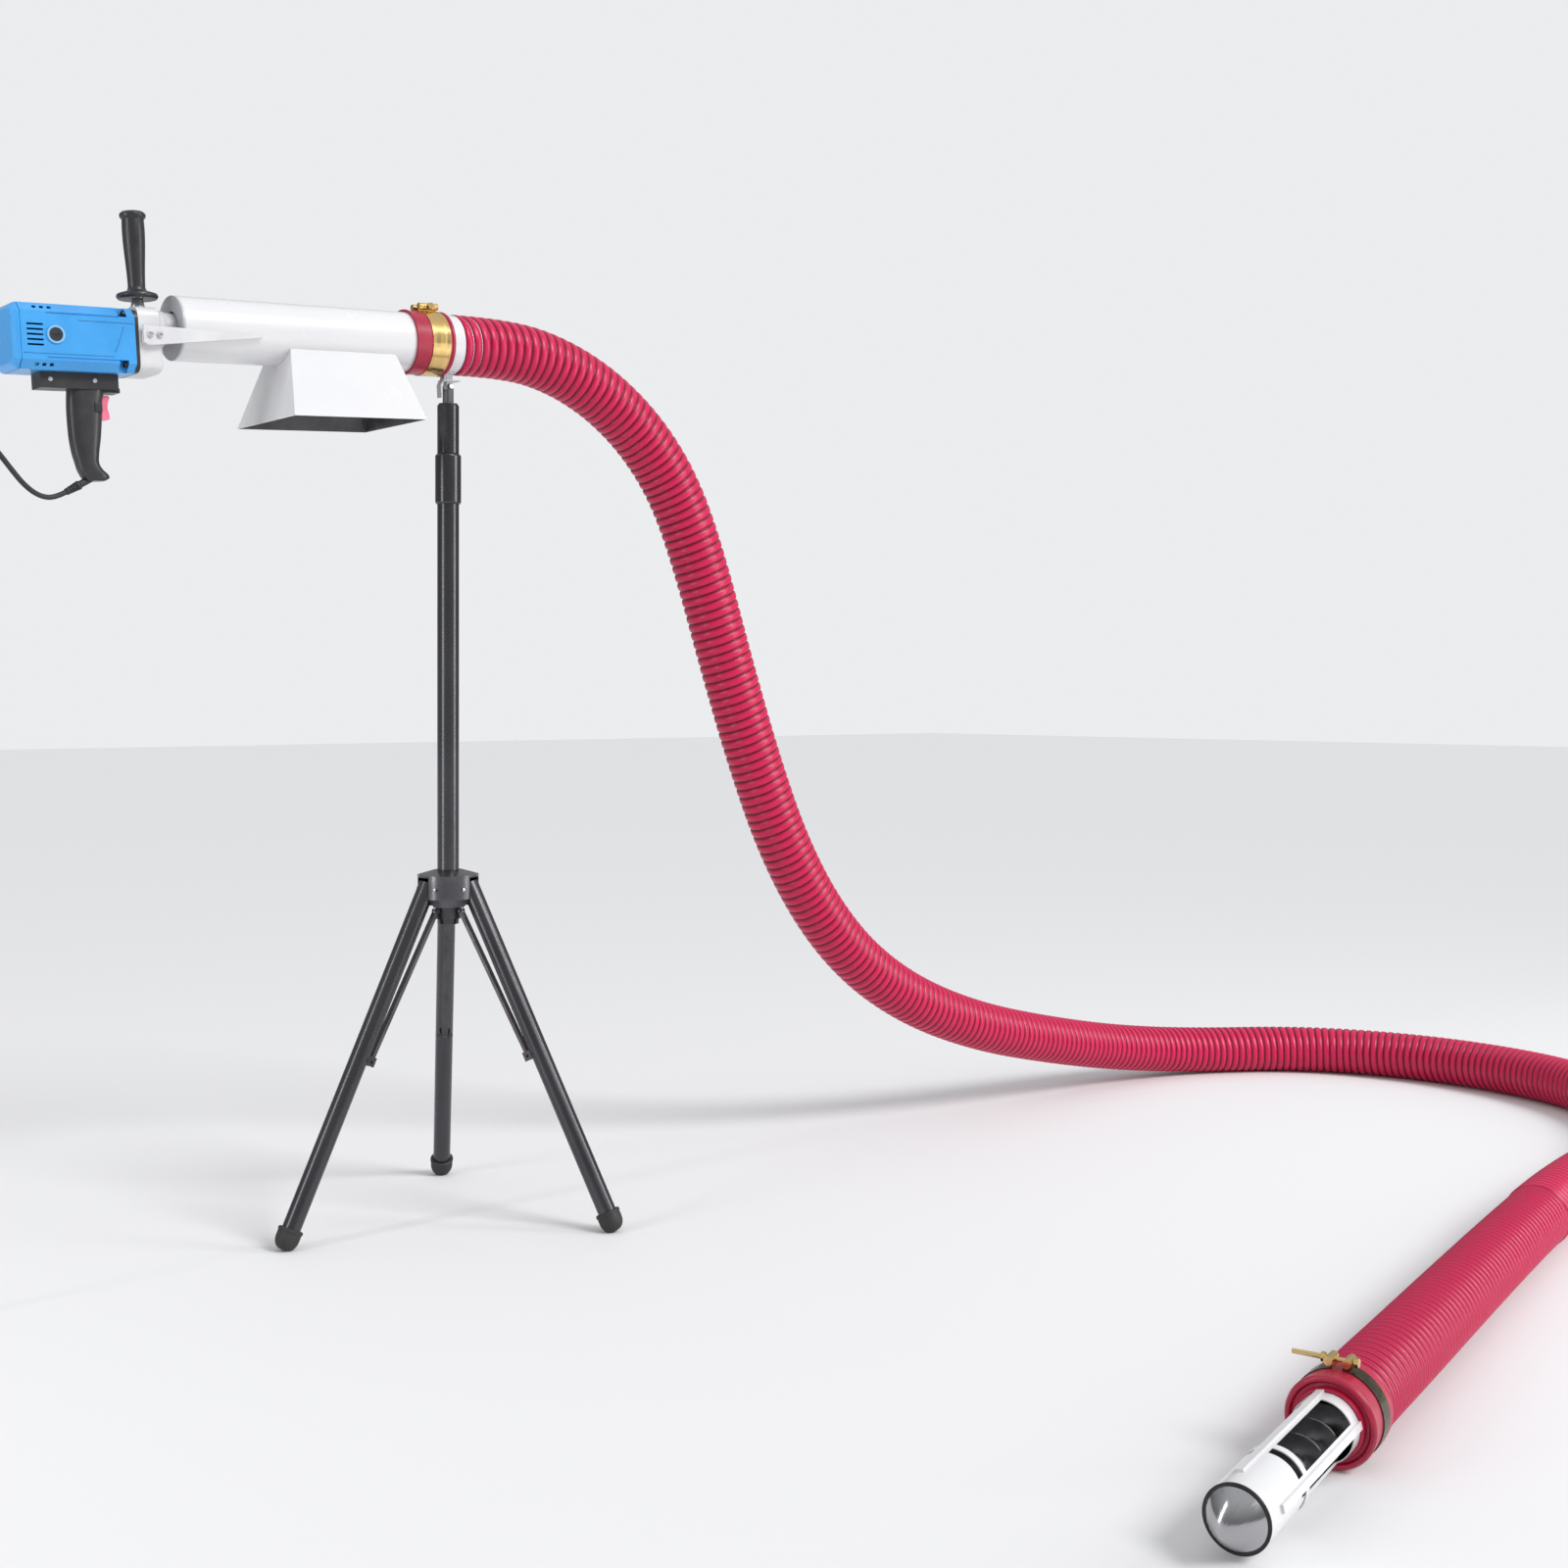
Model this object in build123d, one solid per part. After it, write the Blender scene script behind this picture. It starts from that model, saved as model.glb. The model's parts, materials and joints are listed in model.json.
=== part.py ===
"""Hose-fed grain auger carried on a folding tripod, in millimetres.

While it is modelled, the mast's axis is X = Y = 0, the floor is Z = 0, and +X runs along the
discharge tube from the motor to the hose. The machine is drawn level, with the tube's axis on its
own X axis, and is then set on the fork and leaned by MACHINE_LEAN. The suction head is drawn along
its own X axis, towards the cone. At the end everything is shifted so that the origin is the middle
of the base of the object's box, without the power cord and the hose.
"""

from build123d import *
import math
import os

# Stand
HINGE_HEIGHT = 567.0
MAST_OD = 37.0
MAST_WALL = 1.5
MAST_BELOW_HINGE = 62.0
MAST_TOP = 1396.0
HEAD_TUBE_LENGTH = 84.0
GUIDE_WALL = 1.5
MAST_TRAVEL = 200.0
MAST_ENGAGEMENT = 196.0
LOCK_WALL = 3.5
LOCK_LENGTH = 86.0
HUB_BELOW_HINGE = 31.0
HUB_RIM_ABOVE_HINGE = 23.0
HUB_CROWN_RISE = 8.0
HUB_BEYOND_HINGE = 8.5
HINGE_FROM_MAST = 25.0
HINGE_PIN_OD = 6.0
FOOT_RADIUS = 312.0
LEG_OD = 31.0
LEG_WALL = 1.5
LEG_AZIMUTHS = (62.0, 182.0, 302.0)
RUBBER_WALL = 4.5
RUBBER_LENGTH = 40.0
BRACE_AT = 300.0
BRACE_WIDTH = 12.0
BRACE_PIN_OD = 5.0
SLIDER_BELOW_HINGE = 39.0
SLIDER_PIVOT_FROM_MAST = 6.0
SLIDER_RISE = 12.0
SLIDER_COLLAR = (-14.0, 6.0)
OPEN_PIVOT_CLEARANCE = 1.3
PIVOT_ABOVE_MAST = 32.0
FORK_PIN_OD = 6.0
FORK_CHEEK = 3.2
LUG_THICKNESS = 12.0

# Machine: X along the tube's axis, which is Z = 0
AXIS_ABOVE_PIVOT = 72.0
MACHINE_LEAN = 3.5
TUBE_OD = 101.0
TUBE_WALL = 1.5
TUBE_START = -487.0
TUBE_END = -50.0
NECK_SHOULDER = 10.0
NECK_NOSE = 48.0
SLEEVE_START = -84.0
SLEEVE_END = -12.0
SLEEVE_WALL = 3.0
BAND_WALL = 1.5
BAND_WIDTH = 34.0
BAND_CENTRE = -38.0
BOLT_HOLE = 3.05
SPOUT_TOP = (-311.0, -122.0, 43.0, -28.0)
SPOUT_OUTLET = (-341.0, -105.0, 106.0, -142.0)
SHEET = 2.0
SCREW_SHAFT_OD = 22.0
SCREW_OD = 92.0
SCREW_PITCH = 80.0
SCREW_SHEET = 3.0
COUPLER_START = -480.0
COUPLER_END = -440.0

# Drive
MOTOR_DROP = 27.0
GEARBOX_BACK = -560.0
GEARBOX_FRONT = -522.0
GEARBOX_HALF_WIDTH = 44.0
GEARBOX_TOP = 25.0
GEARBOX_BOTTOM = -77.0
NOSE_RADIUS = 23.0
STRAP_BOLTS_AT = (-546.0, -531.0)
STUD_THREAD = 4.0
STUD_SEAT = GEARBOX_TOP + 3.5
PLATE_THICKNESS = 6.0
BODY_BACK = -738.0
COVER_BACK = -750.0
BODY_HALF_WIDTH = 46.0
BODY_TOP = 20.0
BODY_BOTTOM = -78.0
BODY_CHAMFER = 13.0
BODY_BORE = 80.0
BODY_SCREWS_AT = [(side * 37.0, z) for side in (-1, 1) for z in (11.0, -66.0)]
SCREW_POCKET = (-592.0, -578.0)
STATOR_BORE = 48.0
ROTOR_OD = 44.0
ROTOR_SHAFT_OD = 8.0
BEARING_OD = 22.0
SPINDLE_OD = 16.0
SPINDLE_BEARING_OD = 28.0
SPINDLE_END = -462.0
IDLER_SHAFT_OD = 6.0
FIT = 0.05
PINION_TEETH = 15
WHEEL_TEETH = 45
FIRST_MODULE = 0.7
SECOND_MODULE = 0.9
ADDENDUM = 0.8
DEDENDUM = 1.1
TOOTH_FOOT_SHARE = 0.26
TOOTH_TIP_SHARE = 0.11
FIRST_GEARS = (-556.0, -550.0)
SECOND_GEARS = (-548.0, -538.0)
BRUSH_AT = -687.0
BRUSH_CAP_OD = 20.0
GRIP_TOP = -98.0
GRIP_FOOT = -238.0
GRIP_WALL = 3.0
GRIP_SECTIONS = ((GRIP_TOP, -627, 54, 33), (-128, -630, 45, 33), (-165, -630, 44, 32),
                 (-205, -627, 38, 30), (-224, -623, 43, 29), (GRIP_FOOT, -619, 50, 27))
GRIP_SCREWS_AT = (-689.0, -622.0)
SWITCH_AT = (-640.0, -619.0)
TRIGGER_AT = (-609.0, -588.0)
TRIGGER_HEIGHT = (-147.0, -109.0)
TRIGGER_TRAVEL = 5.0
SPRING_HEIGHT = -128.0
BUTTON_AT = ((-624.0, -136.0), (-612.0, -122.0))
BUTTON_TRAVEL = 2.0
SIDE_GRIP_AT = -541.0
SIDE_GRIP_FOOT = 41.0
SIDE_GRIP_TOP = 175.0

# Hose, spiral and suction head
HOSE_OD = 104.0
HOSE_WALL = 3.5
SPIRAL_OD = 64.0
SPIRAL_WIRE = 6.0
SPIRAL_SKIN = 0.8
HEAD_LIP = (222.0, -1622.0, 56.0)
HEAD_AZIMUTH = 195.5
HEAD_DIP = 2.4
CAGE_OD = 75.0
CAGE_WALL = 1.5
CAGE_LENGTH = 290.0
CAGE_BAR_HEIGHT = 3.5
CAGE_BAR_WIDTH = 9.0
CAGE_BAR_ANGLES = (12, 102, 192, 282)
WINDOW = (32.0, 178.0)
WINDOW_HALF = 20.0
CONE_HEIGHT = 46.0
HEAD_SCREW_OD = 62.0
HEAD_SCREW_PITCH = 48.0
HEAD_SHAFT_OD = 16.0
HOSE_IN_CUFF = 12.0
CUFF_SKIRT = 60.0
HEAD_BAND_WIDTH = 22.0
HEAD_BAND_CENTRE = -34.0

# Power cord
CORD_OD = 8.0
BOOT_TIP = -42.0
COIL_RADIUS = 44.0
COIL_AT = (-985.0, 20.0)
COIL_TURNS_HIGH = 3
COIL_TURNS_WIDE = 2
PLUG_AHEAD = 52.0
PLUG_NECK = 10.0
PLUG_AXIS = 9.0
PLUG_PIN_OD = 4.8
PLUG_PIN_SPACING = 11.4

TUBE_RADIUS = TUBE_OD / 2
MAST_FOOT = HINGE_HEIGHT - MAST_BELOW_HINGE
INNER_MAST_OD = MAST_OD - 2 * (MAST_WALL + GUIDE_WALL)
LOCK_OD = MAST_OD + 2 * LOCK_WALL
HINGE_RADIUS = MAST_OD / 2 + HINGE_FROM_MAST
HUB_RADIUS = HINGE_RADIUS + HUB_BEYOND_HINGE
HUB_BOTTOM = HINGE_HEIGHT - HUB_BELOW_HINGE
HUB_RIM = HINGE_HEIGHT + HUB_RIM_ABOVE_HINGE
HUB_CROWN = HUB_RIM + HUB_CROWN_RISE
RUBBER_OD = LEG_OD + 2 * RUBBER_WALL
SLIDER_HEIGHT = HINGE_HEIGHT - SLIDER_BELOW_HINGE
SLIDER_PIVOT_RADIUS = MAST_OD / 2 + SLIDER_PIVOT_FROM_MAST
PIVOT_HEIGHT = MAST_TOP + PIVOT_ABOVE_MAST
LEG_SPREAD = math.atan2(FOOT_RADIUS - HINGE_RADIUS, HINGE_HEIGHT)
LEG_LENGTH = math.hypot(FOOT_RADIUS - HINGE_RADIUS, HINGE_HEIGHT)
SLIDER_OD = MAST_OD + 6.0
LOCK_TOP = MAST_TOP - HEAD_TUBE_LENGTH
INNER_MAST_LENGTH = HEAD_TUBE_LENGTH + MAST_TRAVEL + MAST_ENGAGEMENT
MAST_END = LOCK_TOP - 12.0
GEAR_ROOM = WHEEL_TEETH * SECOND_MODULE / 2 + 2.2
FIRST_CENTRES = (PINION_TEETH + WHEEL_TEETH) / 2 * FIRST_MODULE
SECOND_CENTRES = (PINION_TEETH + WHEEL_TEETH) / 2 * SECOND_MODULE
IDLER_Z = (FIRST_CENTRES**2 - SECOND_CENTRES**2 - MOTOR_DROP**2) / (2 * MOTOR_DROP)
IDLER_Y = math.sqrt(SECOND_CENTRES**2 - IDLER_Z**2)


# ---- shared shapes

def along_x(radius, start, end, y=0.0, z=0.0):
    """A round bar parallel to X."""
    return Pos((start + end) / 2, y, z) * Rot(0, 90, 0) * Cylinder(radius, end - start)


def ring_x(outer, inner, start, end, y=0.0, z=0.0):
    """A straight tube parallel to X."""
    return along_x(outer, start, end, y, z) - along_x(inner, start - 1, end + 1, y, z)


def along_y(radius, start, end, x=0.0, z=0.0):
    """A round bar parallel to Y."""
    return Pos(x, (start + end) / 2, z) * Rot(90, 0, 0) * Cylinder(radius, end - start)


def along_z(radius, start, end, x=0.0, y=0.0):
    """A round bar parallel to Z."""
    return Pos(x, y, (start + end) / 2) * Cylinder(radius, end - start)


def ring_z(outer, inner, start, end, x=0.0, y=0.0):
    """A straight tube parallel to Z."""
    return along_z(outer, start, end, x, y) - along_z(inner, start - 1, end + 1, x, y)


def block(x_range, y_range, z_range):
    """A box between two values along each axis."""
    spans = (x_range, y_range, z_range)
    centre = [(low + high) / 2 for low, high in spans]
    return Pos(*centre) * Box(*[high - low for low, high in spans])


def turned(profile_points):
    """A solid of revolution about Z from a closed outline of (radius, height) points."""
    outline = make_face(Polyline(*[(r, 0, z) for r, z in profile_points], close=True))
    return revolve(outline, Axis.Z)


def turned_x(profile_points):
    """A solid of revolution about X from a closed outline of (position, radius) points."""
    outline = make_face(Polyline(*[(x, 0, r) for x, r in profile_points], close=True))
    return revolve(outline, Axis.X)


def frustum(top, bottom):
    """A hopper between two level rectangles, each (low x, high x, half width, height)."""
    ends = []
    for low, high, half, height in (bottom, top):
        ends.append(Pos((low + high) / 2, 0, height) * Rectangle(high - low, 2 * half))
    return loft(ends)


def shell_section(half_width, bottom, top, corner):
    """A rounded upright rectangle in the YZ plane, to be moved along X."""
    height = top - bottom
    outline = Rot(0, 90, 0) * RectangleRounded(height, 2 * half_width, corner)
    return Pos(0, 0, (top + bottom) / 2) * outline


def push(face, start, end):
    """A face in the YZ plane drawn out from one X to another."""
    return extrude(Pos(start, 0, 0) * face, amount=end - start, dir=(1, 0, 0))


def spur_gear(teeth, module, start, end, y, z, tooth_towards):
    """A toothed wheel parallel to X with the middle of a tooth at tooth_towards degrees."""
    pitch_radius = teeth * module / 2
    tip = pitch_radius + ADDENDUM * module
    root = pitch_radius - DEDENDUM * module
    step = 2 * math.pi / teeth
    points = []
    for tooth in range(teeth):
        middle = math.radians(tooth_towards) + tooth * step
        for radius, share in ((root, -TOOTH_FOOT_SHARE), (tip, -TOOTH_TIP_SHARE),
                              (tip, TOOTH_TIP_SHARE), (root, TOOTH_FOOT_SHARE)):
            angle = middle + share * step
            points.append((0, y + radius * math.cos(angle), z + radius * math.sin(angle)))
    return push(make_face(Polyline(*points, close=True)), start, end)


def screw_flight(shaft_radius, outer_radius, pitch, sheet, start, end):
    """A helical blade about X, standing on its shaft."""
    middle = (shaft_radius + outer_radius) / 2
    line = Helix(pitch, end - start, middle)
    section = Plane(line @ 0, x_dir=(1, 0, 0), z_dir=line % 0)
    blade = sweep(section * Rectangle(outer_radius - shaft_radius, sheet), path=line, is_frenet=True)
    return Pos(start, 0, 0) * Rot(0, 90, 0) * blade


def clamp_band(centre, width, inner):
    """A split band about X with two rolled ends at its top, each holding a cross pin."""
    low = centre - width / 2
    high = centre + width / 2
    band = ring_x(inner + BAND_WALL, inner, low, high)
    band -= block((low - 1, high + 1), (-7, 7), (0, inner + 10))
    for side in (-1, 1):
        ear = block((low, high), sorted((side * 6.5, side * 8.5)), (inner - 0.5, inner + 10))
        roll = along_x(5.5, low - 1, high + 1, side * 11, inner + 8)
        band += (ear + roll) - along_x(inner, low - 2, high + 2)
    return band - along_y(BOLT_HOLE, -40, 40, centre, inner + 8)


def clamp_bolt(centre, inner, length, side=1):
    """The bolt that draws a clamp band's ends together, its thread sticking out on one side."""
    height = inner + 8
    bolt = along_y(BOLT_HOLE - FIT, *sorted((side * -22, side * (length - 22))), centre, height)
    head = Pos(centre, -20, height) * Rot(90, 0, 0) * extrude(RegularPolygon(6, 6), 2.5, both=True)
    nut = Pos(centre, 20, height) * Rot(90, 0, 0) * extrude(RegularPolygon(6, 6), 2.5, both=True)
    return bolt + head + nut


def cord_path(points):
    """Straight runs joined by arcs as large as the two runs beside each corner allow."""
    corners = [Vector(*p) for p in points]
    radii = []
    for before, here, after in zip(corners, corners[1:], corners[2:]):
        turn = math.radians((here - before).get_angle(after - here))
        shorter = min((here - before).length, (after - here).length)
        radii.append(0.45 * shorter / math.tan(turn / 2))
    return FilletPolyline(*corners, radius=radii), radii


def tube_along(path, outer, inner=0.0):
    """A round cord, or a hollow hose, whose middle follows a path."""
    start = Plane(path @ 0, z_dir=path % 0)
    tube = sweep(start * Circle(outer), path=path)
    if inner:
        tube -= sweep(start * Circle(inner), path=path)
    return tube


# ---- where each group of pieces stands

def on_machine(shape):
    """Put a machine piece on the fork and lean it about the fork's pin."""
    lean = Pos(0, 0, PIVOT_HEIGHT) * Rot(0, -MACHINE_LEAN, 0) * Pos(0, 0, AXIS_ABOVE_PIVOT)
    return lean * shape


def machine_point(x, y, z):
    """The place of a point of the machine once it leans."""
    angle = math.radians(MACHINE_LEAN)
    height = z + AXIS_ABOVE_PIVOT
    return (x * math.cos(angle) - height * math.sin(angle), y,
            PIVOT_HEIGHT + x * math.sin(angle) + height * math.cos(angle))


def in_head(shape):
    """Put a piece of the suction head at the end of the hose."""
    return Pos(*HEAD_LIP) * Rot(0, 0, HEAD_AZIMUTH) * Rot(0, HEAD_DIP, 0) * shape


def head_point(x):
    """The place of a point on the suction head's axis."""
    dip = math.radians(HEAD_DIP)
    turn = math.radians(HEAD_AZIMUTH)
    level = x * math.cos(dip)
    return (HEAD_LIP[0] + level * math.cos(turn), HEAD_LIP[1] + level * math.sin(turn),
            HEAD_LIP[2] - x * math.sin(dip))


def on_leg(shape, azimuth):
    """Put a leg piece, drawn along -Z from its hinge, at its azimuth and spread."""
    spread = math.degrees(LEG_SPREAD)
    return Rot(0, 0, azimuth) * Pos(HINGE_RADIUS, 0, HINGE_HEIGHT) * Rot(0, -spread, 0) * shape


# ---- cord routes, chosen by hand

HOSE_ROUTE = [
    machine_point(NECK_SHOULDER, 0, 0),
    machine_point(NECK_SHOULDER + 112, 0, 0),
    (229, 0, 1487), (334, 0, 1438), (424, 0, 1364), (494, 0, 1269), (551, 0, 1132),
    (612, 0, 950), (680, 0, 765), (751, 0, 604), (840, 0, 466), (952, 0, 352), (1106, 2, 258),
    (1305, 8, 184), (1538, 22, 128), (1783, 34, 80), (2015, -2, 52), (2240, -150, 52),
    (2352, -370, 52), (2372, -623, 52), (2302, -853, 52), (2150, -1040, 52), (1940, -1157, 52),
    (1690, -1203, 52), (1400, -1263, 53), (1080, -1357, 54), (760, -1456, 56),
    (480, -1546, 60), head_point(-130), head_point(-HOSE_IN_CUFF),
]

CORD_ROUTE = [
    (-698, -2, 1195), (-721, -5, 1210), (-742, -9, 1233), (-769, -12, 1265), (-805, -13, 1288),
    (-851, -12, 1292), (-889, -9, 1264), (-907, -4, 1216), (-909, 0, 1150), (-903, 5, 1050),
    (-908, 8, 940), (-904, 6, 828), (-909, 3, 716), (-905, 0, 604), (-910, -5, 492),
    (-906, -10, 380), (-909, -16, 268), (-904, -22, 172), (-905, -28, 97), (-912, -33, 53),
    (-930, -35, 30), (-956, -30, 21), (-985, -24, 20),
]


# ---- stand

def lower_mast():
    tube = ring_z(MAST_OD / 2, MAST_OD / 2 - MAST_WALL, MAST_FOOT, MAST_END)
    guide = ring_z(MAST_OD / 2 - MAST_WALL, INNER_MAST_OD / 2 + 0.3, MAST_END - 60, MAST_END)
    return tube + guide


def hub():
    body = turned([(0, HUB_BOTTOM), (HUB_RADIUS - 10, HUB_BOTTOM), (HUB_RADIUS, HUB_BOTTOM + 14),
                   (HUB_RADIUS, HUB_RIM), (MAST_OD / 2 + 6, HUB_CROWN), (0, HUB_CROWN)])
    body -= along_z(MAST_OD / 2, HUB_BOTTOM - 1, HUB_CROWN + 1)
    body -= along_z(SLIDER_OD / 2 + 1.5, HUB_BOTTOM - 1, SLIDER_HEIGHT + SLIDER_COLLAR[1] + SLIDER_RISE + 1)
    slot_half = LEG_OD / 2 + 0.8
    slot_top = HINGE_HEIGHT + 19.5
    for azimuth in LEG_AZIMUTHS:
        slot = block((MAST_OD / 2 + 3.0, HUB_RADIUS + 5), (-slot_half, slot_half),
                     (HUB_BOTTOM - 5, slot_top))
        pin = along_y(HINGE_PIN_OD / 2, -40, 40, HINGE_RADIUS, HINGE_HEIGHT)
        body -= Rot(0, 0, azimuth) * (slot + pin)
    return body


def hub_pins():
    reach = math.sqrt(HUB_RADIUS**2 - HINGE_RADIUS**2) - 0.5
    pins = []
    for azimuth in LEG_AZIMUTHS:
        pins.append(Rot(0, 0, azimuth) * along_y(HINGE_PIN_OD / 2, -reach, reach,
                                                 HINGE_RADIUS, HINGE_HEIGHT))
    return pins


def leg(azimuth):
    tube = ring_z(LEG_OD / 2, LEG_OD / 2 - LEG_WALL, -(LEG_LENGTH - 14), 9)
    tube -= along_y(HINGE_PIN_OD / 2 + FIT, -30, 30)
    ear_x = -(LEG_OD / 2 + 6.5)
    for side in (-1, 1):
        ear = block((ear_x - 5, -LEG_OD / 2 + 3), sorted((side * 7, side * 9.5)),
                    (-BRACE_AT - 8, -BRACE_AT + 8))
        tube += ear - along_z(LEG_OD / 2 - LEG_WALL / 2, -BRACE_AT - 20, -BRACE_AT + 20)
    tube -= along_y(BRACE_PIN_OD / 2 + FIT, -30, 30, ear_x, -BRACE_AT)
    return on_leg(tube, azimuth)


def foot(azimuth):
    overrun = RUBBER_OD / 2 * math.tan(LEG_SPREAD) + 1
    cap = along_z(RUBBER_OD / 2, -(LEG_LENGTH + overrun), -(LEG_LENGTH - RUBBER_LENGTH))
    cap -= along_z(LEG_OD / 2, -(LEG_LENGTH - 14), 0)
    span = FOOT_RADIUS + 100
    below = block((-span, span), (-span, span), (-60, 0))
    return on_leg(cap, azimuth) - below


def brace_ends():
    """A brace's lower and upper pivots as (radius, height) in its leg's plane."""
    offset = LEG_OD / 2 + 6.5
    low = (HINGE_RADIUS + BRACE_AT * math.sin(LEG_SPREAD) - offset * math.cos(LEG_SPREAD),
           HINGE_HEIGHT - BRACE_AT * math.cos(LEG_SPREAD) - offset * math.sin(LEG_SPREAD))
    return low, (SLIDER_PIVOT_RADIUS, SLIDER_HEIGHT)


def strut(azimuth):
    """A brace bar with an eye at each end, and its lower pin as a solid of its own."""
    (low_r, low_z), (high_r, high_z) = brace_ends()
    length = math.hypot(high_r - low_r, high_z - low_z)
    lean = math.degrees(math.atan2(low_r - high_r, high_z - low_z))
    half = BRACE_WIDTH / 2
    eye = 4.6
    bar = block((-3, 3), (-half, half), (eye, length - eye))
    bar += along_y(eye, -half, half) + block((-3, 3), (-half, half), (0, eye))
    bar += along_y(eye, -half, half, 0, length) + block((-3, 3), (-half, half), (length - eye, length))
    bar -= block((-6, 6), (-3.6, 3.6), (length - 14, length + 6))
    bar -= along_y(BRACE_PIN_OD / 2, -10, 10)
    bar -= along_y(BRACE_PIN_OD / 2 - 0.5 + OPEN_PIVOT_CLEARANCE, -10, 10, 0, length)
    pin = along_y(BRACE_PIN_OD / 2, -14, 14)
    place = Rot(0, 0, azimuth) * Pos(low_r, 0, low_z) * Rot(0, -lean, 0)
    return [place * bar, place * pin]


def brace_slider():
    low, high = SLIDER_COLLAR
    ring = ring_z(SLIDER_OD / 2, MAST_OD / 2 + 0.3, SLIDER_HEIGHT + low, SLIDER_HEIGHT + high)
    bore = along_z(MAST_OD / 2 + 0.3, SLIDER_HEIGHT - 20, SLIDER_HEIGHT + 20)
    for azimuth in LEG_AZIMUTHS:
        tongue = block((MAST_OD / 2 + 1, SLIDER_PIVOT_RADIUS), (-3, 3),
                       (SLIDER_HEIGHT - 4, SLIDER_HEIGHT + 4))
        pin = along_y(BRACE_PIN_OD / 2 - 0.5, -8, 8, SLIDER_PIVOT_RADIUS, SLIDER_HEIGHT)
        ring += Rot(0, 0, azimuth) * ((tongue - bore) + pin)
        relief = block((MAST_OD / 2 + 0.9, SLIDER_PIVOT_RADIUS - 2.6), (3.05, 9),
                       (SLIDER_HEIGHT - 8, SLIDER_HEIGHT + 8))
        ring -= Rot(0, 0, azimuth) * (relief + Pos(0, -12.05, 0) * relief)
    return ring


def upper_mast():
    """The sliding inner tube with the wider head tube fixed on its top."""
    inner = ring_z(INNER_MAST_OD / 2, INNER_MAST_OD / 2 - MAST_WALL,
                   MAST_TOP - INNER_MAST_LENGTH, MAST_TOP)
    return inner + ring_z(MAST_OD / 2, INNER_MAST_OD / 2, LOCK_TOP + 0.5, MAST_TOP)


def lock_sleeve():
    """The twist lock that grips the inner mast, with a chamfer at each end."""
    low = LOCK_TOP - LOCK_LENGTH
    radius = LOCK_OD / 2
    sleeve = turned([(MAST_OD / 2 + 0.3, low), (radius - 2, low), (radius, low + 3),
                     (radius, LOCK_TOP - 3), (radius - 2, LOCK_TOP), (INNER_MAST_OD / 2 + 0.3, LOCK_TOP),
                     (INNER_MAST_OD / 2 + 0.3, MAST_END + 0.3), (MAST_OD / 2 + 0.3, MAST_END + 0.3)])
    return sleeve


def swivel_fork():
    """A spigot in the mast's top, its cap and two cheeks that hold the machine's lug."""
    spigot_radius = INNER_MAST_OD / 2 - MAST_WALL - FIT
    fork = along_z(spigot_radius, MAST_TOP - 55, MAST_TOP + 0.3)
    fork += along_z(MAST_OD / 2 - 2, MAST_TOP + 0.3, MAST_TOP + 3)
    inner = LUG_THICKNESS / 2 + 0.3
    for side in (-1, 1):
        wall = sorted((side * inner, side * (inner + FORK_CHEEK)))
        fork += block((-5.5, 5.5), wall, (MAST_TOP + 2, PIVOT_HEIGHT))
        fork += along_y(5.5, wall[0], wall[1], 0, PIVOT_HEIGHT)
    return fork - along_y(FORK_PIN_OD / 2, -30, 30, 0, PIVOT_HEIGHT)


def fork_pin():
    reach = LUG_THICKNESS / 2 + 0.3 + FORK_CHEEK
    pin = along_y(FORK_PIN_OD / 2, -reach - 2, reach + 2, 0, PIVOT_HEIGHT)
    head = along_y(4.5, reach, reach + 2.5, 0, PIVOT_HEIGHT)
    return pin + head + along_y(4.5, -reach - 2.5, -reach, 0, PIVOT_HEIGHT)


# ---- discharge end of the machine

def hanger_lug():
    """The lug under the neck, its level plate and the bent strap beside the mast."""
    half = LUG_THICKNESS / 2
    lug = block((-6, 6), (-half, half), (-AXIS_ABOVE_PIVOT, -TUBE_RADIUS + 4))
    lug += along_y(6, -half, half, 0, -AXIS_ABOVE_PIVOT)
    lug += block((-14, 20), (-10, 10), (-63, -61))
    strap = Polyline((-8, 0, -46), (-4, 0, -46), (-8, 0, -60), (-15.5, 0, -70), (-15.5, 0, -91),
                     (-18.5, 0, -91), (-18.5, 0, -69), (-11.5, 0, -59), close=True)
    lug += extrude(make_face(strap), 7, dir=(0, 1, 0), both=True)
    lug -= along_x(TUBE_RADIUS, -40, 40)
    return lug - along_y(FORK_PIN_OD / 2 + FIT, -30, 30, 0, -AXIS_ABOVE_PIVOT)


def discharge_tube():
    tube = ring_x(TUBE_RADIUS, TUBE_RADIUS - TUBE_WALL, TUBE_START, TUBE_END)
    low, high, half, _ = SPOUT_TOP
    window = block((low + 10, high - 10), (-half + 12, half - 12), (-TUBE_RADIUS - 5, -20))
    return tube - window


def end_plate():
    """The annular plate that closes the tube about the gearbox's nose."""
    return ring_x(TUBE_RADIUS, NOSE_RADIUS + 2.5, TUBE_START - 3, TUBE_START)


def spout():
    """The four-sided outlet hopper under the tube."""
    low, high, half, height = SPOUT_TOP
    out_low, out_high, out_half, out_height = SPOUT_OUTLET
    hollow = frustum((low + SHEET, high - SHEET, half - SHEET, height),
                     (out_low + SHEET, out_high - SHEET, out_half - SHEET, out_height))
    shell = frustum(SPOUT_TOP, SPOUT_OUTLET) - hollow
    return shell - along_x(TUBE_RADIUS, TUBE_START, TUBE_END)


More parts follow.
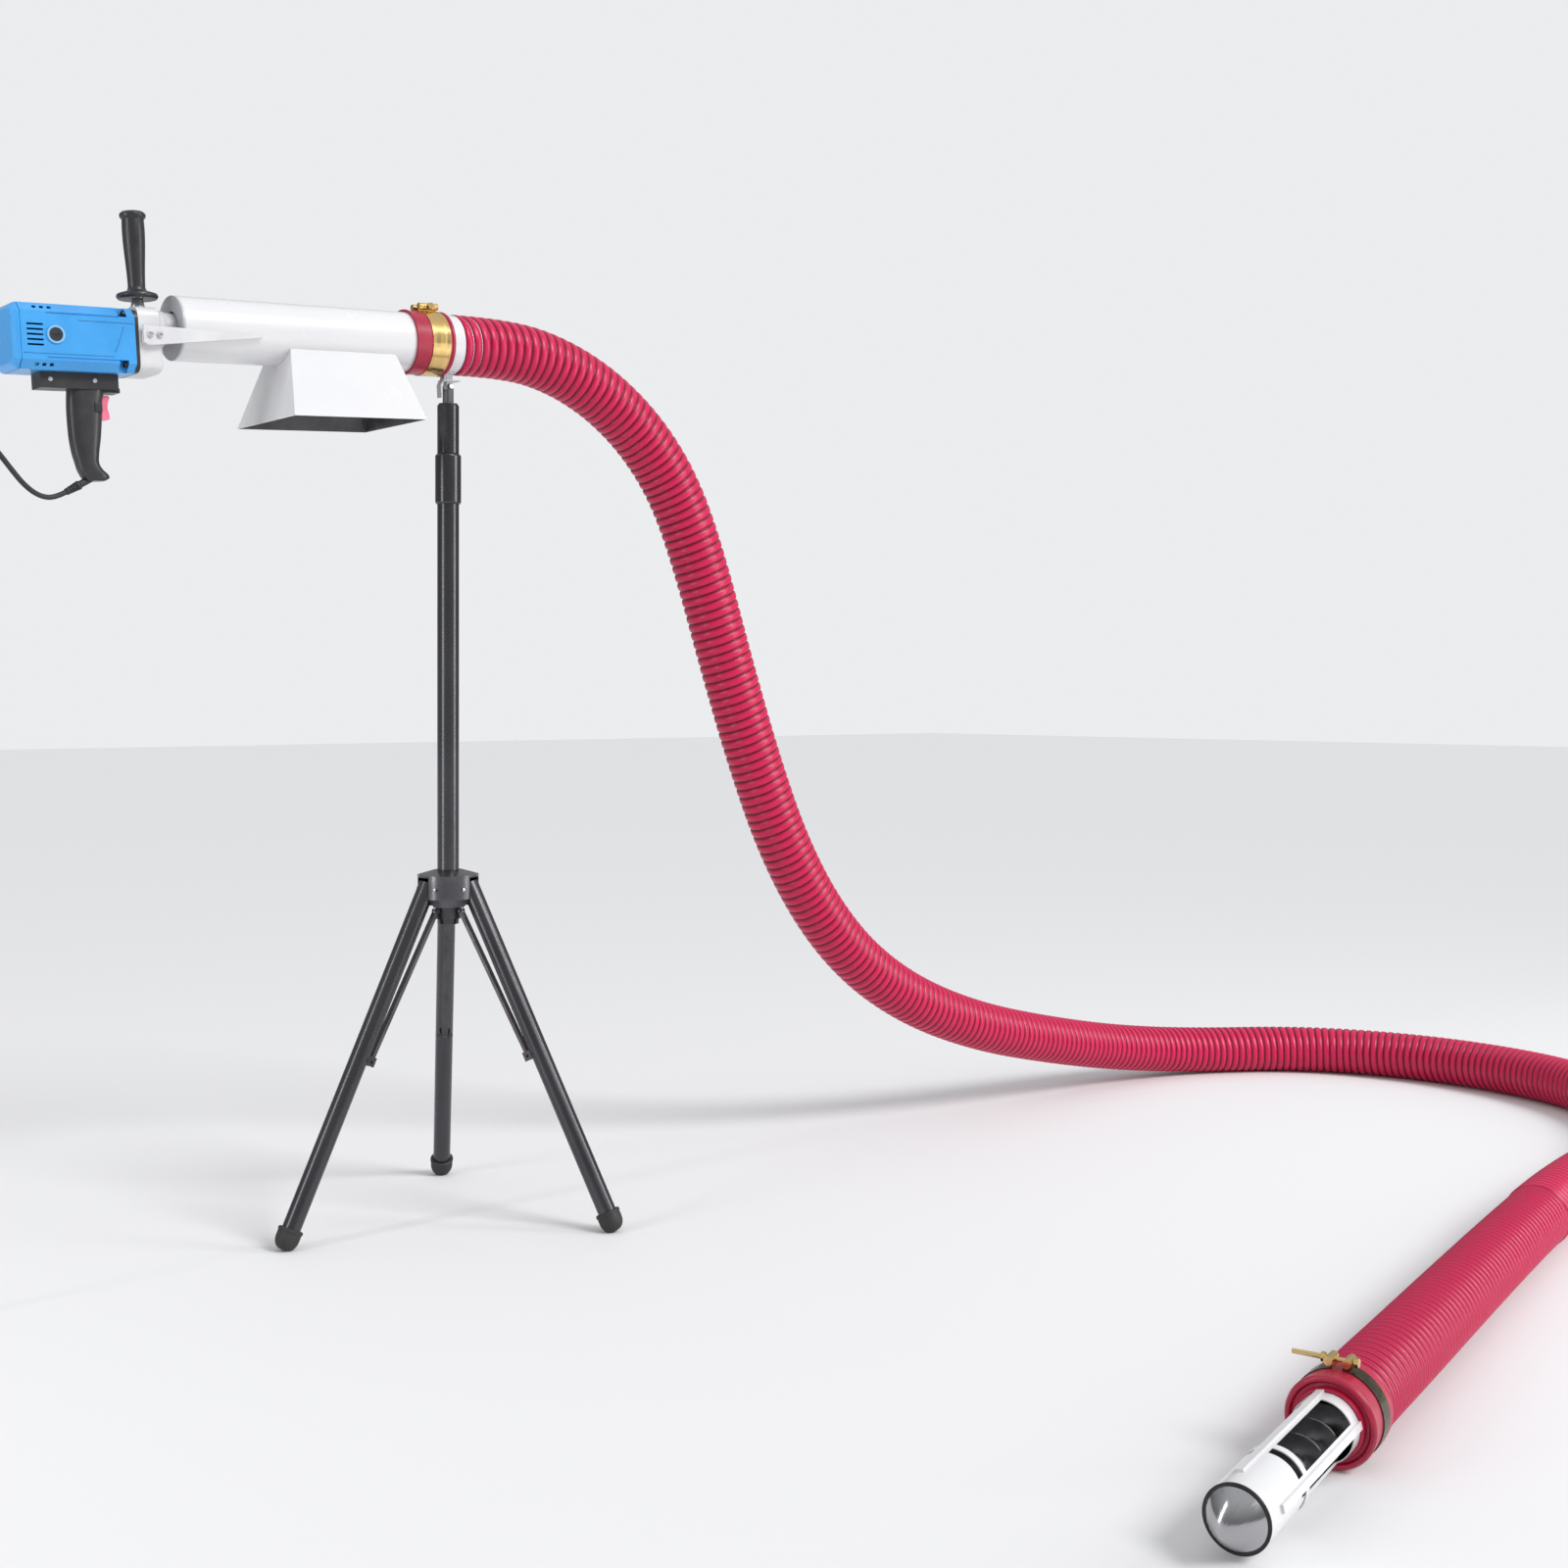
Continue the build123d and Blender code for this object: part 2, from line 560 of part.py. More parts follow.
def side_straps():
    straps = []
    for side in (-1, 1):
        outline = Polyline((-556, 0, -6), (-362, 0, -11), (-362, 0, -15), (-548, 0, -36),
                           (-556, 0, -32), close=True)
        strap = extrude(make_face(outline), 10, dir=(0, 1, 0))
        strap = Pos(0, GEARBOX_HALF_WIDTH if side > 0 else -GEARBOX_HALF_WIDTH - 10, 0) * strap
        strap -= along_x(TUBE_RADIUS, -600, -300)
        for x in STRAP_BOLTS_AT:
            strap -= along_y(2.5, -60, 60, x, -20)
        straps.append(strap)
    return straps


def strap_bolts():
    bolts = []
    outer = GEARBOX_HALF_WIDTH + 10
    for side in (-1, 1):
        for x in STRAP_BOLTS_AT:
            shank = along_y(2.5, *sorted((side * (GEARBOX_HALF_WIDTH - 4.5), side * outer)), x, -20)
            head = along_y(4.5, *sorted((side * outer, side * (outer + 3.5))), x, -20)
            socket = along_y(2.0, *sorted((side * (outer + 1.5), side * (outer + 5))), x, -20)
            bolts.append(shank + head - socket)
    return bolts


def auger_screw():
    radius = SCREW_SHAFT_OD / 2
    shaft = along_x(radius, SPINDLE_END + 2, 2)
    shaft += along_x(SPIRAL_OD / 2 - SPIRAL_WIRE - 3, -34, 2)
    return [shaft, screw_flight(radius, SCREW_OD / 2, SCREW_PITCH, SCREW_SHEET, -432, -70)]


def shaft_coupler():
    """The sleeve that joins the gearbox spindle to the screw's shaft, with a set screw flat."""
    sleeve = along_x(17, COUPLER_START, COUPLER_END)
    sleeve -= along_x(SPINDLE_OD / 2, COUPLER_START - 1, SPINDLE_END + 1)
    sleeve -= along_x(SCREW_SHAFT_OD / 2, SPINDLE_END + 1, COUPLER_END + 1)
    return sleeve - along_z(3, 8, 20, SPINDLE_END - 8)


def joint_sleeve():
    """The rubber sleeve over the tube's end and the neck, beaded at both ends."""
    outer = TUBE_RADIUS + SLEEVE_WALL
    sleeve = ring_x(outer, TUBE_RADIUS, SLEEVE_START, SLEEVE_END)
    sleeve += ring_x(outer + 1.5, outer - 1, SLEEVE_START, SLEEVE_START + 5)
    return sleeve + ring_x(outer + 1.5, outer - 1, SLEEVE_END - 5, SLEEVE_END)


def inlet_neck():
    """The bright neck between the sleeve and the hose, with its nose inside the hose."""
    nose = HOSE_OD / 2 - HOSE_WALL - 0.1
    neck = ring_x(TUBE_RADIUS, TUBE_RADIUS - SHEET, TUBE_END + 2, NECK_SHOULDER)
    neck += ring_x(TUBE_RADIUS, nose - SHEET, NECK_SHOULDER - 4, NECK_SHOULDER)
    return neck + ring_x(nose, nose - SHEET, NECK_SHOULDER - 4, NECK_SHOULDER + NECK_NOSE)


# ---- drive

def gearbox_housing():
    section = shell_section(GEARBOX_HALF_WIDTH, GEARBOX_BOTTOM, GEARBOX_TOP, 16)
    case = push(section, GEARBOX_BACK, GEARBOX_FRONT)
    case = chamfer(case.faces().sort_by(Axis.X)[-1].edges(), 5)
    case += loft([Pos(GEARBOX_FRONT, 0, -9) * Rot(0, 90, 0) * Circle(36),
                  Pos(GEARBOX_FRONT + 16, 0, -3) * Rot(0, 90, 0) * Circle(28)])
    case += along_x(NOSE_RADIUS, GEARBOX_FRONT, TUBE_START + 4)
    inner_end = GEARBOX_FRONT - 6
    case -= along_x(GEAR_ROOM, GEARBOX_BACK - 1, inner_end)
    case -= along_x(WHEEL_TEETH * FIRST_MODULE / 2 + 2.0, GEARBOX_BACK - 1, inner_end, IDLER_Y, IDLER_Z)
    case -= along_x(9, GEARBOX_BACK - 1, inner_end, 0, -MOTOR_DROP)
    case -= along_x(SPINDLE_BEARING_OD / 2, inner_end - 1, inner_end + 12)
    case -= along_x(SPINDLE_OD / 2 + 1, inner_end, TUBE_START + 5)
    case -= along_x(IDLER_SHAFT_OD / 2 + FIT, inner_end - 1, inner_end + 4, IDLER_Y, IDLER_Z)
    case += along_z(13, GEARBOX_TOP - 8, STUD_SEAT, SIDE_GRIP_AT) - along_x(GEAR_ROOM, -600, -500)
    case -= along_z(STUD_THREAD, STUD_SEAT - 5, STUD_SEAT + 1, SIDE_GRIP_AT)
    for x in STRAP_BOLTS_AT:
        for side in (-1, 1):
            case -= along_y(2.5, *sorted((side * (GEARBOX_HALF_WIDTH - 5), side * 60)), x, -20)
    return case - body_screw_holes()


def body_screw_holes():
    holes = [along_x(2.5, SCREW_POCKET[1] - 1, GEARBOX_BACK + 12, y, z) for y, z in BODY_SCREWS_AT]
    return holes[0] + holes[1:]


def body_screws():
    """Recessed cross-head screws that hold the motor body to the gearbox."""
    screws = []
    head_back = SCREW_POCKET[1] - 5
    for y, z in BODY_SCREWS_AT:
        screw = along_x(4.5, head_back, SCREW_POCKET[1], y, z)
        screw += along_x(2.5, SCREW_POCKET[1], GEARBOX_BACK + 11, y, z)
        for spread in ((3, 0.7), (0.7, 3)):
            screw -= block((head_back - 1, head_back + 2), (y - spread[0], y + spread[0]),
                           (z - spread[1], z + spread[1]))
        screws.append(screw)
    return screws


def mid_plate():
    """The black bearing plate between the motor body and the gearbox."""
    section = shell_section(GEARBOX_HALF_WIDTH + 1, GEARBOX_BOTTOM, BODY_TOP - 1, 15)
    plate = push(section, GEARBOX_BACK - PLATE_THICKNESS, GEARBOX_BACK)
    plate -= along_x(BEARING_OD / 2, GEARBOX_BACK - 10, GEARBOX_BACK + 1, 0, -MOTOR_DROP)
    plate -= along_x(IDLER_SHAFT_OD / 2 + FIT, GEARBOX_BACK - 4, GEARBOX_BACK + 1, IDLER_Y, IDLER_Z)
    return plate - body_screw_holes()


def body_outline():
    """The motor body's cross-section, a rectangle with its long edges cut off."""
    y = BODY_HALF_WIDTH
    cut = BODY_CHAMFER
    corners = [(y, BODY_BOTTOM + cut), (y, BODY_TOP - cut), (y - cut, BODY_TOP), (cut - y, BODY_TOP),
               (-y, BODY_TOP - cut), (-y, BODY_BOTTOM + cut), (cut - y, BODY_BOTTOM),
               (y - cut, BODY_BOTTOM)]
    return make_face(Polyline(*[(0, cy, cz) for cy, cz in corners], close=True))


def motor_housing():
    front = GEARBOX_BACK - PLATE_THICKNESS
    body = push(body_outline(), BODY_BACK, front)
    for side in (-1, 1):
        body += along_y(BRUSH_CAP_OD / 2 + 4, *sorted((side * 30, side * (BODY_HALF_WIDTH + 1.5))),
                        BRUSH_AT, -MOTOR_DROP)
        for z_range in ((3.0, 5.5), (-62.5, -60.0)):
            body -= block((-700, SCREW_POCKET[0]), sorted((side * (BODY_HALF_WIDTH - 1.5), side * 50)),
                          z_range)
    body -= along_x(BODY_BORE / 2, BODY_BACK - 1, front + 1, 0, -MOTOR_DROP)
    body -= along_y(BRUSH_CAP_OD / 2, -60, 60, BRUSH_AT, -MOTOR_DROP)
    for slot in range(5):
        z = -13 - 7.5 * slot
        body -= block((-729, -705), (-60, 60), (z - 1.5, z + 1.5))
    for slot in range(3):
        x = -718 + 11 * slot
        body -= block((x, x + 6), (-60, 60), (BODY_TOP - 9, BODY_TOP - 5))
        body -= block((x, x + 6), (-60, 60), (BODY_BOTTOM + 5, BODY_BOTTOM + 9))
    for y, z in BODY_SCREWS_AT:
        outward_y = sorted((y - math.copysign(6, y), y + math.copysign(20, y)))
        outward_z = sorted((z - 6, z + 20)) if z > -MOTOR_DROP else sorted((z + 6, z - 20))
        body -= block(SCREW_POCKET, outward_y, outward_z)
    return body - body_screw_holes()


def rear_cover():
    """The bevelled end cap with the rear bearing's seat."""
    blank = push(body_outline(), COVER_BACK, BODY_BACK)
    cap = chamfer(blank.faces().sort_by(Axis.X)[0].edges(), 8)
    cap += along_x(BEARING_OD / 2 + 4, BODY_BACK, BODY_BACK + 12, 0, -MOTOR_DROP)
    return cap - along_x(BEARING_OD / 2, BODY_BACK + 3, BODY_BACK + 13, 0, -MOTOR_DROP)


def brush_caps():
    """Two screwed caps and the carbon brush behind each."""
    pieces = []
    for side in (-1, 1):
        wall = BODY_HALF_WIDTH - 6
        cap = along_y(BRUSH_CAP_OD / 2, *sorted((side * wall, side * (BODY_HALF_WIDTH + 1))),
                      BRUSH_AT, -MOTOR_DROP)
        cap -= block((BRUSH_AT - 6, BRUSH_AT + 6), sorted((side * BODY_HALF_WIDTH, side * 50)),
                     (-MOTOR_DROP - 0.8, -MOTOR_DROP + 0.8))
        brush = block((BRUSH_AT - 4, BRUSH_AT + 4), sorted((side * 12.6, side * wall)),
                      (-MOTOR_DROP - 3, -MOTOR_DROP + 3))
        pieces += [cap, brush]
    return pieces


def stator():
    return ring_x(BODY_BORE / 2, STATOR_BORE / 2, -662, -606, 0, -MOTOR_DROP)


def direction_to_idler():
    """The angle of the line from the motor's axis to the idler's, in the YZ plane."""
    return math.degrees(math.atan2(IDLER_Z + MOTOR_DROP, IDLER_Y))


def direction_to_spindle():
    """The angle of the line from the idler's axis to the spindle's, in the YZ plane."""
    return math.degrees(math.atan2(-IDLER_Z, -IDLER_Y))


def rotor():
    """The armature, its commutator and the pinion cut on its shaft."""
    z = -MOTOR_DROP
    shaft = along_x(ROTOR_SHAFT_OD / 2, BODY_BACK + 4, FIRST_GEARS[1], 0, z)
    shaft += along_x(ROTOR_OD / 2, -659, -609, 0, z)
    shaft += along_x(12, BRUSH_AT - 8, BRUSH_AT + 8, 0, z)
    return shaft + spur_gear(PINION_TEETH, FIRST_MODULE, *FIRST_GEARS, 0, z, direction_to_idler())


def cooling_fan():
    z = -MOTOR_DROP
    fan = ring_x(9, ROTOR_SHAFT_OD / 2, -600, -584, 0, z)
    fan += ring_x(35, ROTOR_SHAFT_OD / 2, -600, -598, 0, z)
    for blade in range(9):
        vane = block((-598, -587), (8, 34), (-0.8, 0.8))
        fan += Pos(0, 0, z) * Rot(blade * 40, 0, 0) * vane
    return fan


def ball_bearings():
    z = -MOTOR_DROP
    shaft = ROTOR_SHAFT_OD / 2 + FIT
    inner_end = GEARBOX_FRONT - 6
    front = ring_x(BEARING_OD / 2, shaft, GEARBOX_BACK - PLATE_THICKNESS, GEARBOX_BACK, 0, z)
    rear = ring_x(BEARING_OD / 2, shaft, BODY_BACK + 4, BODY_BACK + 11, 0, z)
    spindle_seat = ring_x(SPINDLE_BEARING_OD / 2, SPINDLE_OD / 2 + FIT, inner_end + 1, inner_end + 12)
    return [front, rear, spindle_seat]


def idler_gear():
    towards_motor = direction_to_idler() + 180 + 180 / WHEEL_TEETH
    wheel = spur_gear(WHEEL_TEETH, FIRST_MODULE, *FIRST_GEARS, IDLER_Y, IDLER_Z, towards_motor)
    wheel += spur_gear(PINION_TEETH, SECOND_MODULE, FIRST_GEARS[1], SECOND_GEARS[1], IDLER_Y, IDLER_Z,
                       direction_to_spindle())
    return wheel + along_x(IDLER_SHAFT_OD / 2, GEARBOX_BACK - 3.5, GEARBOX_FRONT - 2.5, IDLER_Y, IDLER_Z)


def spindle():
    towards_idler = direction_to_spindle() + 180 + 180 / WHEEL_TEETH
    wheel = spur_gear(WHEEL_TEETH, SECOND_MODULE, *SECOND_GEARS, 0, 0, towards_idler)
    return wheel + along_x(SPINDLE_OD / 2, SECOND_GEARS[0] - 1, SPINDLE_END)


def side_stud():
    """The metal post between the gearbox and the side grip."""
    post = turned([(0, STUD_SEAT - 4.5), (STUD_THREAD, STUD_SEAT - 4.5), (STUD_THREAD, STUD_SEAT),
                   (11, STUD_SEAT), (8, SIDE_GRIP_FOOT), (STUD_THREAD, SIDE_GRIP_FOOT),
                   (STUD_THREAD, SIDE_GRIP_FOOT + 30), (0, SIDE_GRIP_FOOT + 30)])
    return Pos(SIDE_GRIP_AT, 0, 0) * post


def side_grip():
    foot_z = SIDE_GRIP_FOOT
    top = SIDE_GRIP_TOP
    profile = Polyline((STUD_THREAD, 0, foot_z), (29, 0, foot_z), (31.5, 0, foot_z + 4),
                       (30, 0, foot_z + 8), (15, 0, foot_z + 13), (13, 0, foot_z + 18))
    barrel = Spline((13, 0, foot_z + 18), (14.5, 0, foot_z + 55), (16.6, 0, foot_z + 90),
                    (16.4, 0, top - 12))
    crown = Polyline((16.4, 0, top - 12), (19.5, 0, top - 8), (19.8, 0, top - 4), (16, 0, top),
                     (0, 0, top), (0, 0, foot_z + 31), (STUD_THREAD, 0, foot_z + 31),
                     (STUD_THREAD, 0, foot_z))
    outline = make_face(Wire([*profile.edges(), *barrel.edges(), *crown.edges()]))
    return Pos(SIDE_GRIP_AT, 0, 0) * revolve(outline, Axis.Z)


def grip_body(shrink):
    """The pistol grip's outside, or its hollow when shrunk by the wall."""
    rows = []
    for height, centre, depth, width in GRIP_SECTIONS:
        corner = 11 - shrink
        rows.append(Pos(centre, 0, height) * RectangleRounded(depth - 2 * shrink, width - 2 * shrink, corner))
    return loft(rows)


def grip_cavity():
    """The room inside the grip, with the trigger's pocket and the cord's way out."""
    low_x, high_x = TRIGGER_AT
    low_z, high_z = TRIGGER_HEIGHT
    room = grip_body(GRIP_WALL) & block((-700, -560), (-40, 40), (GRIP_FOOT + 6, GRIP_TOP))
    room += block((low_x - TRIGGER_TRAVEL - 3, high_x + 10), (-7.6, 7.6), (low_z - 0.7, high_z + 0.7))
    room += boot_place() * along_z(CORD_OD / 2 + 1.5, -40, 30)
    return room


def boot_place():
    """Where the cord's boot leaves the grip, with its Z axis along the cord, pointing back up."""
    return Pos(-632, 0, GRIP_FOOT + 2) * Rot(0, 62, 0)


def yoke():
    """The saddle under the motor body that carries the grip."""
    saddle = block((-704, -586), (-19, 19), (GRIP_TOP - 4, BODY_BOTTOM))
    saddle += block((-618, -583), (-15, 15), (GRIP_TOP - 8, GRIP_TOP - 2))
    for x in GRIP_SCREWS_AT:
        saddle -= along_y(3.2, -20, -17.4, x, -89) + along_y(3.2, 17.4, 20, x, -89)
    return saddle


def grip_half(side):
    whole = (grip_body(0) + yoke()) - grip_cavity()
    half = whole & block((-720, -560), sorted((0.0, side * 40.0)), (-260, -70))
    if side < 0:
        low, high = BUTTON_AT
        half -= block((low[0] - 0.3, high[0] + 0.3), (-30, -10), (low[1] - 0.3, high[1] + 0.3))
    return half


def lock_button():
    (low_x, low_z), (high_x, high_z) = BUTTON_AT
    button = block((low_x, high_x), (-18, -12.2), (low_z, high_z))
    return chamfer(button.faces().sort_by(Axis.Y)[0].edges(), 1)


def trigger():
    low_x, high_x = TRIGGER_AT
    low_z, high_z = TRIGGER_HEIGHT
    side = Polyline((low_x, 0, low_z), (high_x - 4, 0, low_z), (high_x - 1, 0, low_z + 3),
                    (high_x - 5, 0, (low_z + high_z) / 2), (high_x, 0, high_z - 3),
                    (high_x - 2, 0, high_z), (low_x, 0, high_z), close=True)
    blade = extrude(make_face(side), 7, dir=(0, 1, 0), both=True)
    return blade - along_x(3.6, low_x - 1, low_x + 4, 0, SPRING_HEIGHT)


def trigger_spring():
    return ring_x(3.2, 2.4, SWITCH_AT[1], TRIGGER_AT[0] + 4, 0, SPRING_HEIGHT)


def switch_body():
    return block(SWITCH_AT, (-10, 10), (-152, -108))


def cord_boot():
    """The ribbed, tapered strain relief at the foot of the grip."""
    bore = CORD_OD / 2
    neck = bore + 1.5
    boot = turned([(bore, 10), (neck, 10), (neck, -17), (bore + 3.2, -19), (bore + 1.2, BOOT_TIP),
                   (bore, BOOT_TIP)])
    for rib in range(4):
        boot -= ring_z(bore + 5, bore + 0.8, -25 - 4 * rib, -23.5 - 4 * rib)
    return boot_place() * boot


def power_cord():
    path, radii = cord_path(cord_points())
    print("power cord radii:", [round(r, 1) for r in radii])
    tube = tube_along(path, CORD_OD / 2)
    length = path.length
    share = tube.volume / (math.pi * CORD_OD**2 / 4 * length)
    print(f"power cord run: {length:.0f} mm, volume over section times length {share:.4f}")
    return tube


def cord_points():
    start = boot_place() * Pos(0, 0, BOOT_TIP + 4)
    ahead = boot_place() * Pos(0, 0, BOOT_TIP - 20)
    return [machine_point(*start.position), machine_point(*ahead.position)] + CORD_ROUTE


def cord_coil():
    """The outer shape of the wound cord on the floor."""
    reach = COIL_TURNS_WIDE * CORD_OD / 2
    return ring_z(COIL_RADIUS + reach, COIL_RADIUS - reach, 0, COIL_TURNS_HIGH * CORD_OD, *COIL_AT)


def plug():
    """A two-pin plug lying beside the coil, in line with the cord that leaves its outer turn."""
    body = block((PLUG_NECK, PLUG_NECK + 36), (-11, 11), (0, 18))
    body = fillet(body.edges().filter_by(Axis.X), 5)
    body += along_x(6.5, 0, PLUG_NECK + 1, 0, PLUG_AXIS)
    for side in (-1, 1):
        body += along_x(PLUG_PIN_OD / 2, PLUG_NECK + 35, PLUG_NECK + 54, side * PLUG_PIN_SPACING / 2,
                        PLUG_AXIS)
    outer_turn = COIL_RADIUS + (COIL_TURNS_WIDE - 1) * CORD_OD / 2
    return Pos(COIL_AT[0] - outer_turn, COIL_AT[1] + PLUG_AHEAD, 0) * Rot(0, 0, 90) * body


# ---- hose and suction head

def hose():
    path, radii = cord_path(HOSE_ROUTE)
    print("hose radii:", [round(r) for r in radii])
    tube = tube_along(path, HOSE_OD / 2, HOSE_OD / 2 - HOSE_WALL)
    section = math.pi * (HOSE_OD**2 - (HOSE_OD - 2 * HOSE_WALL)**2) / 4
    share = tube.volume / (section * path.length)
    print(f"hose: {path.length:.0f} mm, volume over section times length {share:.4f}")
    return tube


def flexible_spiral():
    """The outer shape of the bendable feed spiral inside the hose."""
    path, _ = cord_path(HOSE_ROUTE)
    return tube_along(path, SPIRAL_OD / 2, SPIRAL_OD / 2 - SPIRAL_SKIN)


def hose_cuff():
    """The stepped rubber cuff over the hose's end and the cage."""
    skirt = HOSE_OD / 2 + 1.5
    cage = CAGE_OD / 2
    return turned_x([(-CUFF_SKIRT, HOSE_OD / 2), (-CUFF_SKIRT, skirt), (-4, skirt), (-1, skirt + 1.5),
                     (4, skirt + 1.5), (7, skirt - 1), (7, skirt - 5), (3, skirt - 7), (3, cage + 5),
                     (12, cage + 3.5), (12, cage), (-HOSE_IN_CUFF, cage), (-HOSE_IN_CUFF, HOSE_OD / 2)])


def head_cage():
    """The slotted suction tube with its four raised bars."""
    radius = CAGE_OD / 2
    tube = ring_x(radius, radius - CAGE_WALL, -HOSE_IN_CUFF, CAGE_LENGTH)
    for turn in CAGE_BAR_ANGLES:
        long_window = block((WINDOW[0], WINDOW[1]), (-WINDOW_HALF, WINDOW_HALF), (15, radius + 5))
        slot = block((WINDOW[1] + 10, WINDOW[1] + 24), (-WINDOW_HALF, WINDOW_HALF), (15, radius + 5))
        tube -= Rot(turn + 45, 0, 0) * (long_window + slot)
    for turn in CAGE_BAR_ANGLES:
        bar = block((12, CAGE_LENGTH - 28), (-CAGE_BAR_WIDTH / 2, CAGE_BAR_WIDTH / 2),
                    (radius - CAGE_WALL, radius + CAGE_BAR_HEIGHT))
        bar -= along_x(radius - CAGE_WALL, 0, CAGE_LENGTH)
        tube += Rot(turn, 0, 0) * bar
    return tube


def nose_cone():
    """The pointed end with its rim and the bush that steadies the screw's end."""
    radius = CAGE_OD / 2
    return turned_x([(CAGE_LENGTH - 26, 6.05), (CAGE_LENGTH - 26, 13), (CAGE_LENGTH - 6, 13),
                     (CAGE_LENGTH - 6, radius - CAGE_WALL), (CAGE_LENGTH, radius - CAGE_WALL),
                     (CAGE_LENGTH, radius + 0.5), (CAGE_LENGTH + 3, radius + 0.5),
                     (CAGE_LENGTH + 3, radius - 3), (CAGE_LENGTH + 3 + CONE_HEIGHT, 0),
                     (CAGE_LENGTH - 3, 0), (CAGE_LENGTH - 3, 6.05)])


def head_screw():
    """The screw that draws grain in through the cage's windows."""
    radius = HEAD_SHAFT_OD / 2
    shaft = along_x(radius, -8, CAGE_LENGTH - 28) + along_x(6, CAGE_LENGTH - 28, CAGE_LENGTH - 5)
    return [shaft, screw_flight(radius, HEAD_SCREW_OD / 2, HEAD_SCREW_PITCH, SCREW_SHEET, 4,
                                CAGE_LENGTH - 60)]


def clamp_bands():
    on_sleeve = clamp_band(BAND_CENTRE, BAND_WIDTH, TUBE_RADIUS + SLEEVE_WALL)
    on_cuff = clamp_band(HEAD_BAND_CENTRE, HEAD_BAND_WIDTH, HOSE_OD / 2 + 1.5)
    return [on_machine(on_sleeve), in_head(on_cuff)]


def clamp_bolts():
    on_sleeve = clamp_bolt(BAND_CENTRE, TUBE_RADIUS + SLEEVE_WALL, 52)
    on_cuff = clamp_bolt(HEAD_BAND_CENTRE, HOSE_OD / 2 + 1.5, 80, -1)
    return [on_machine(on_sleeve), in_head(on_cuff)]


# ---- the whole object

def stand_nodes():
    nodes = {
        "lower_mast": lower_mast(), "hub": hub(), "hub_pins": hub_pins(),
        "brace_slider": brace_slider(), "upper_mast": upper_mast(), "lock_sleeve": lock_sleeve(),
        "swivel_fork": swivel_fork(), "fork_pin": fork_pin(),
    }
    for number, azimuth in enumerate(LEG_AZIMUTHS, 1):
        nodes[f"leg_{number}"] = leg(azimuth)
        nodes[f"foot_{number}"] = foot(azimuth)
        nodes[f"strut_{number}"] = strut(azimuth)
    return nodes


def machine_nodes():
    makers = [
        hanger_lug, discharge_tube, end_plate, spout, side_straps, strap_bolts, auger_screw,
        shaft_coupler, joint_sleeve, inlet_neck, gearbox_housing, body_screws, mid_plate,
        motor_housing, rear_cover, brush_caps, stator, rotor, cooling_fan, ball_bearings, idler_gear,
        spindle, side_stud, side_grip, lock_button, trigger, trigger_spring, switch_body, cord_boot,
    ]
    nodes = {}
    for maker in makers:
        made = maker()
        pieces = made if isinstance(made, list) else [made]
        nodes[maker.__name__] = [on_machine(piece) for piece in pieces]
    nodes["grip_left"] = on_machine(grip_half(-1))
    nodes["grip_right"] = on_machine(grip_half(1))
    return nodes


def head_nodes():
    nodes = {"clamp_bands": clamp_bands(), "clamp_bolts": clamp_bolts()}
    for maker in (hose_cuff, head_cage, nose_cone, head_screw):
        made = maker()
        pieces = made if isinstance(made, list) else [made]
        nodes[maker.__name__] = [in_head(piece) for piece in pieces]
    return nodes


def cord_nodes():
    return {"hose": hose(), "flexible_spiral": flexible_spiral(), "power_cord": power_cord(),
            "cord_coil": cord_coil(), "plug": plug()}


def as_solids(made):
    """Every separate solid of a node, in one list."""
    pieces = made if isinstance(made, list) else [made]
    return [solid for piece in pieces for solid in piece.solids()]


def build():
    """Every node as a list of solids, and the shift that brings the origin to the base's middle."""
    own = {**stand_nodes(), **machine_nodes(), **head_nodes()}
    own = {name: as_solids(made) for name, made in own.items()}
    cords = {name: as_solids(made) for name, made in cord_nodes().items()}
    boot = {"cord_boot": own.pop("cord_boot")}
    box = Compound(children=[copy_of(s) for solids in own.values() for s in solids]).bounding_box()
    shift = (-(box.min.X + box.max.X) / 2, -(box.min.Y + box.max.Y) / 2, 0.0)
    everything = {**own, **boot, **cords}
    return {name: [Pos(*shift) * s for s in solids] for name, solids in everything.items()}, shift


def copy_of(solid):
    return Pos(0, 0, 0) * solid


def main():
    os.makedirs("parts", exist_ok=True)
    nodes, shift = build()
    print("shift:", [round(value, 3) for value in shift])
    for name, solids in nodes.items():
        export_step(solids[0] if len(solids) == 1 else Compound(children=solids), f"parts/{name}.step")
    print(f"{len(nodes)} nodes written")


if __name__ == "__main__":
    main()
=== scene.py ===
# Hose-fed grain auger on a folding tripod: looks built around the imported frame, in metres
import json
import math

import bmesh
import bpy
from mathutils import Matrix, Vector

